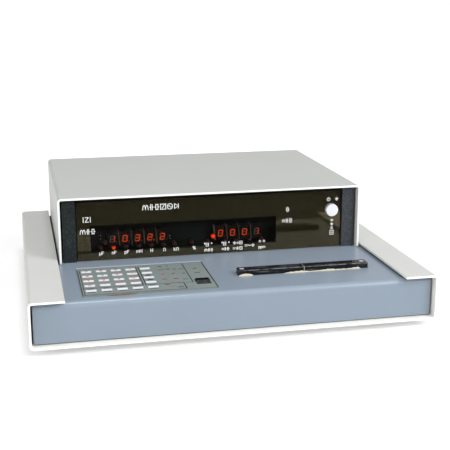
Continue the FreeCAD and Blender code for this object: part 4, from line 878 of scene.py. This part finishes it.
def keypad_print():
    """The sheet's dark lines and legends, and the red and pale red ones."""
    dark, red, pink = bmesh.new(), bmesh.new(), bmesh.new()
    for start, end, width in PAD_LINES:
        bar(dark, on_pad(*start), on_pad(*end), width * MM, on_sheet)
    for row, words in enumerate(RED_WORDS, start=1):
        for column, entry in enumerate(words, start=1):
            if entry:
                length, count = entry
                middle, _ = key_centre(row, column)
                spot = (middle.x, middle.y + 5.2 * MM)
                word(red, spot, length * MM, count, RED_HEIGHT * MM)
    for column in range(1, KEY_COLUMNS + 1):
        middle, _ = key_centre(KEY_ROWS, column)
        for back, length, count in FRONT_ROW_WORDS:
            spot = (middle.x, middle.y + back * MM)
            word(dark, spot, length * MM, count, FRONT_ROW_HEIGHT * MM)
    for row, (length, height) in enumerate(LAST_COLUMN_WORDS, start=1):
        middle, _ = key_centre(row, KEY_COLUMNS)
        spot = (middle.x + 0.3 * MM, middle.y + 6.9 * MM)
        word(dark, spot, length * MM, 3, height * MM)
    for x, back, length, count in LAMP_WORDS:
        word(dark, on_pad(x, back), LAMP_WORD_SHARE * length * MM, count, LAMP_WORD_HEIGHT * MM)
    for x, back, length in PINK_BARS:
        word(pink, on_pad(x, back), length * MM, 1, PINK_HEIGHT * MM)
    piece("keypad_lines", dark, black_print)
    piece("keypad_red_legends", red, red_print)
    piece("keypad_pink_legends", pink, pink_print)


def key_marks():
    """A sign on each marked key of the four-by-four block, which moves with its key."""
    for row, signs in enumerate(KEY_SIGNS, start=1):
        for column, sign in enumerate(signs, start=1):
            if sign == " ":
                continue
            middle, top = key_centre(row, column)

            def on_key(x, y, proud, level=top):
                return Vector((x, y, level + proud))

            bm = bmesh.new()
            write(bm, sign, (middle.x, middle.y), KEY_SIGN_HEIGHT * MM, KEY_SIGN_STROKE * MM,
                  on_key, KEY_SIGN_WIDEN)
            piece(f"key_mark_row{row}_col{column}", bm, key_ink,
                  f"key_row{row}_col{column}")


def sheet_ridge():
    """A thin painted ridge behind the sheet, whose front catches the light."""
    bm = bmesh.new()
    rear = OVERLAY_HIGH.y + RIDGE_GAP
    ends = [Vector((x, rear, DECK_TOP)) for x in (OVERLAY_LOW.x, OVERLAY_HIGH.x)]
    bead(bm, ends, [RIDGE_TALL] * 2, [RIDGE_DEEP] * 2)
    piece("overlay_rear_ridge", bm, deck_enamel)


def glue():
    """Old adhesive that shows where the sheet's front edge has lifted."""
    bm = bmesh.new()
    steps = range(GLUE_STEPS + 1)
    spots = [Vector((place(GLUE_LEFT + GLUE_LENGTH * i / GLUE_STEPS, 0, 0).x, OVERLAY_LOW.y,
                     DECK_TOP)) for i in steps]
    rise = [math.sin(math.pi * i / GLUE_STEPS) ** 0.6 for i in steps]
    bead(bm, spots, [(0.12 + 0.70 * r) * MM for r in rise], [(0.12 + 1.5 * r) * MM for r in rise])
    piece("overlay_adhesive", bm, old_glue)


# ---------------------------------------------------------------- the fixture

# each run of sealant: its piece, where it starts and ends, and its steps
SEALANT_RUNS = (("sealant_bead_left", 8.1, 22.3, 28), ("sealant_bead_right", 49.3, 129.5, 150))
BETWEEN_RUNS = 25
SEALANT_LEAST = 0.12
EYELET_X, EYELET_BACK, EYELET_STEPS = 125.4, 57.4, 28
# the eyelet's section, as radius and height above the jaw
EYELET_SECTION = ((1.35, -0.9), (1.35, 0.04), (1.75, 0.10), (2.1, 0.02), (1.8, -0.9))


def bead_size(x):
    """How tall the sealant is at a place along the fixture's front, in millimetres: one rounded
    lump on the left, and an uneven run on the right that thins out at both ends."""
    if x < BETWEEN_RUNS:
        return 2.1 * max(0.0, math.sin(math.pi * (x - 8) / 14.4)) ** 0.6
    waves = 0.3 * math.sin(x * 0.21 - 12.4)
    lumps = 0.5 + waves + 0.2 * math.sin(x * 0.83) * math.sin(x * 0.37 + 1)
    return (0.55 + 1.1 * lumps ** 1.5) * min(1.0, (x - 49) / 9, (130 - x) / 3)


def sealant_beads():
    """Uneven cream sealant along the fixture's front, in two runs."""
    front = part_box("fixture_jaw_left")[0].y + 0.05 * MM
    for name, start, end, count in SEALANT_RUNS:
        bm = bmesh.new()
        at = [start + (end - start) * i / count for i in range(count + 1)]
        spots = [Vector((x * MM, front, DECK_TOP)) for x in at]
        sizes = [max(SEALANT_LEAST, bead_size(x) + random.uniform(-0.12, 0.12)) * MM for x in at]
        bead(bm, spots, sizes, [0.5 * MM + 0.55 * size for size in sizes])
        piece(name, bm, sealant)


def eyelet():
    """A worn brass eyelet at the outer end of the right slot."""
    bm = bmesh.new()
    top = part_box("fixture_jaw_right")[1].z
    centre = Vector((EYELET_X * MM, place(0, EYELET_BACK, 0).y, top))
    rings = []
    for i in range(EYELET_STEPS):
        turn = 2 * math.pi * i / EYELET_STEPS
        out = Vector((math.cos(turn), math.sin(turn), 0))
        rings.append([bm.verts.new(centre + out * radius * MM + Vector((0, 0, up * MM)))
                      for radius, up in EYELET_SECTION])
    for a, b in zip(rings, rings[1:] + rings[:1]):
        for j in range(len(a)):
            k = (j + 1) % len(a)
            bm.faces.new((a[j], a[k], b[k], b[j]))
    piece("slot_eyelet_right", bm, eyelet_metal)


def build():
    dress_frame()
    digits()
    partitions()
    solder_spots()
    backing()
    window_print()
    keypad_print()
    key_marks()
    sheet_ridge()
    glue()
    sealant_beads()
    eyelet()


# ---------------------------------------------------------------- studio

SKY = 0.52
FLOOR_HALF, FLOOR_TONE, FLOOR_GLOW = 40, 0.86, 0.58
CARD_HALF, CARD_FRONT, CARD_UP, CARD_TONE = 2.5, -3.5, 0.002, 0.012
# name, place, size and power of each soft lamp, which all point at AIM
LIGHTS = (("key", (1.5, -1.7, 1.5), 1.2, 43), ("left", (-1.7, -1.3, 0.9), 1.4, 11.5),
          ("top", (0.0, -0.5, 2.2), 0.5, 15))
AIM = Vector((0, 0, 0.05))
CAMERA_PLACE = (-0.18952, -0.95174, 0.31270)
CAMERA_DOWN, CAMERA_RIGHT = 0.24894, 0.21875
LENS, SENSOR = 75.94, 36


def sheet(name, low, high, up, tone, glow=0.0):
    """A level staged sheet between two corners. It glows less near the middle, a painted shadow."""
    (x0, y0), (x1, y1) = low, high
    mesh = bpy.data.meshes.new(name)
    corners = [(x0, y0, up), (x1, y0, up), (x1, y1, up), (x0, y1, up)]
    mesh.from_pydata(corners, [], [(0, 1, 2, 3)])
    made, tree, shader = material(name, 0.9, Base_Color=(tone, tone, tone, 1),
                                  Emission_Color=(1, 1, 1, 1))
    away = add(tree, "ShaderNodeVectorMath", {0: object_space(tree)}, operation="LENGTH")
    # painted shadow: the glow drops to 0.4 of full strength near the object
    strength = remap(tree, away.outputs["Value"], 0.2, 1.2, glow * 0.4, glow)
    connect(shader, "Emission Strength", strength)
    mesh.materials.append(made)
    laid = bpy.data.objects.new(name, mesh)
    bpy.context.scene.collection.objects.link(laid)
    return laid


def studio():
    """A white floor to the horizon, whose glow dims near the object as a painted shadow, soft
    light, and a dark card that only reflections see, as in a dim room."""
    sheet("floor", (-FLOOR_HALF, -FLOOR_HALF), (FLOOR_HALF, FLOOR_HALF), 0, FLOOR_TONE, FLOOR_GLOW)
    card = sheet("dark_card", (-CARD_HALF, CARD_FRONT), (CARD_HALF, FRONT_EDGE - 0.02), CARD_UP,
                 CARD_TONE)
    for kind in ("camera", "diffuse", "shadow", "transmission", "volume_scatter"):
        setattr(card, "visible_" + kind, False)
    world = bpy.data.worlds.new("world")
    world.use_nodes = True
    background = world.node_tree.nodes["Background"]
    background.inputs["Color"].default_value = (1, 1, 1, 1)
    background.inputs["Strength"].default_value = SKY
    bpy.context.scene.world = world
    for name, spot, size, power in LIGHTS:
        light = bpy.data.lights.new(name, "AREA")
        light.size = size
        light.energy = power
        lamp = bpy.data.objects.new(name, light)
        lamp.location = spot
        lamp.rotation_euler = (AIM - Vector(spot)).to_track_quat("-Z", "Y").to_euler()
        bpy.context.scene.collection.objects.link(lamp)
    bpy.context.scene.view_settings.view_transform = "Standard"


def camera():
    data = bpy.data.cameras.new("camera")
    data.sensor_width = SENSOR
    data.lens = LENS
    made = bpy.data.objects.new("camera", data)
    made.location = CAMERA_PLACE
    made.rotation_euler = (math.pi / 2 - CAMERA_DOWN, 0, -CAMERA_RIGHT)
    bpy.context.scene.collection.objects.link(made)
    bpy.context.scene.camera = made


build()
studio()
camera()
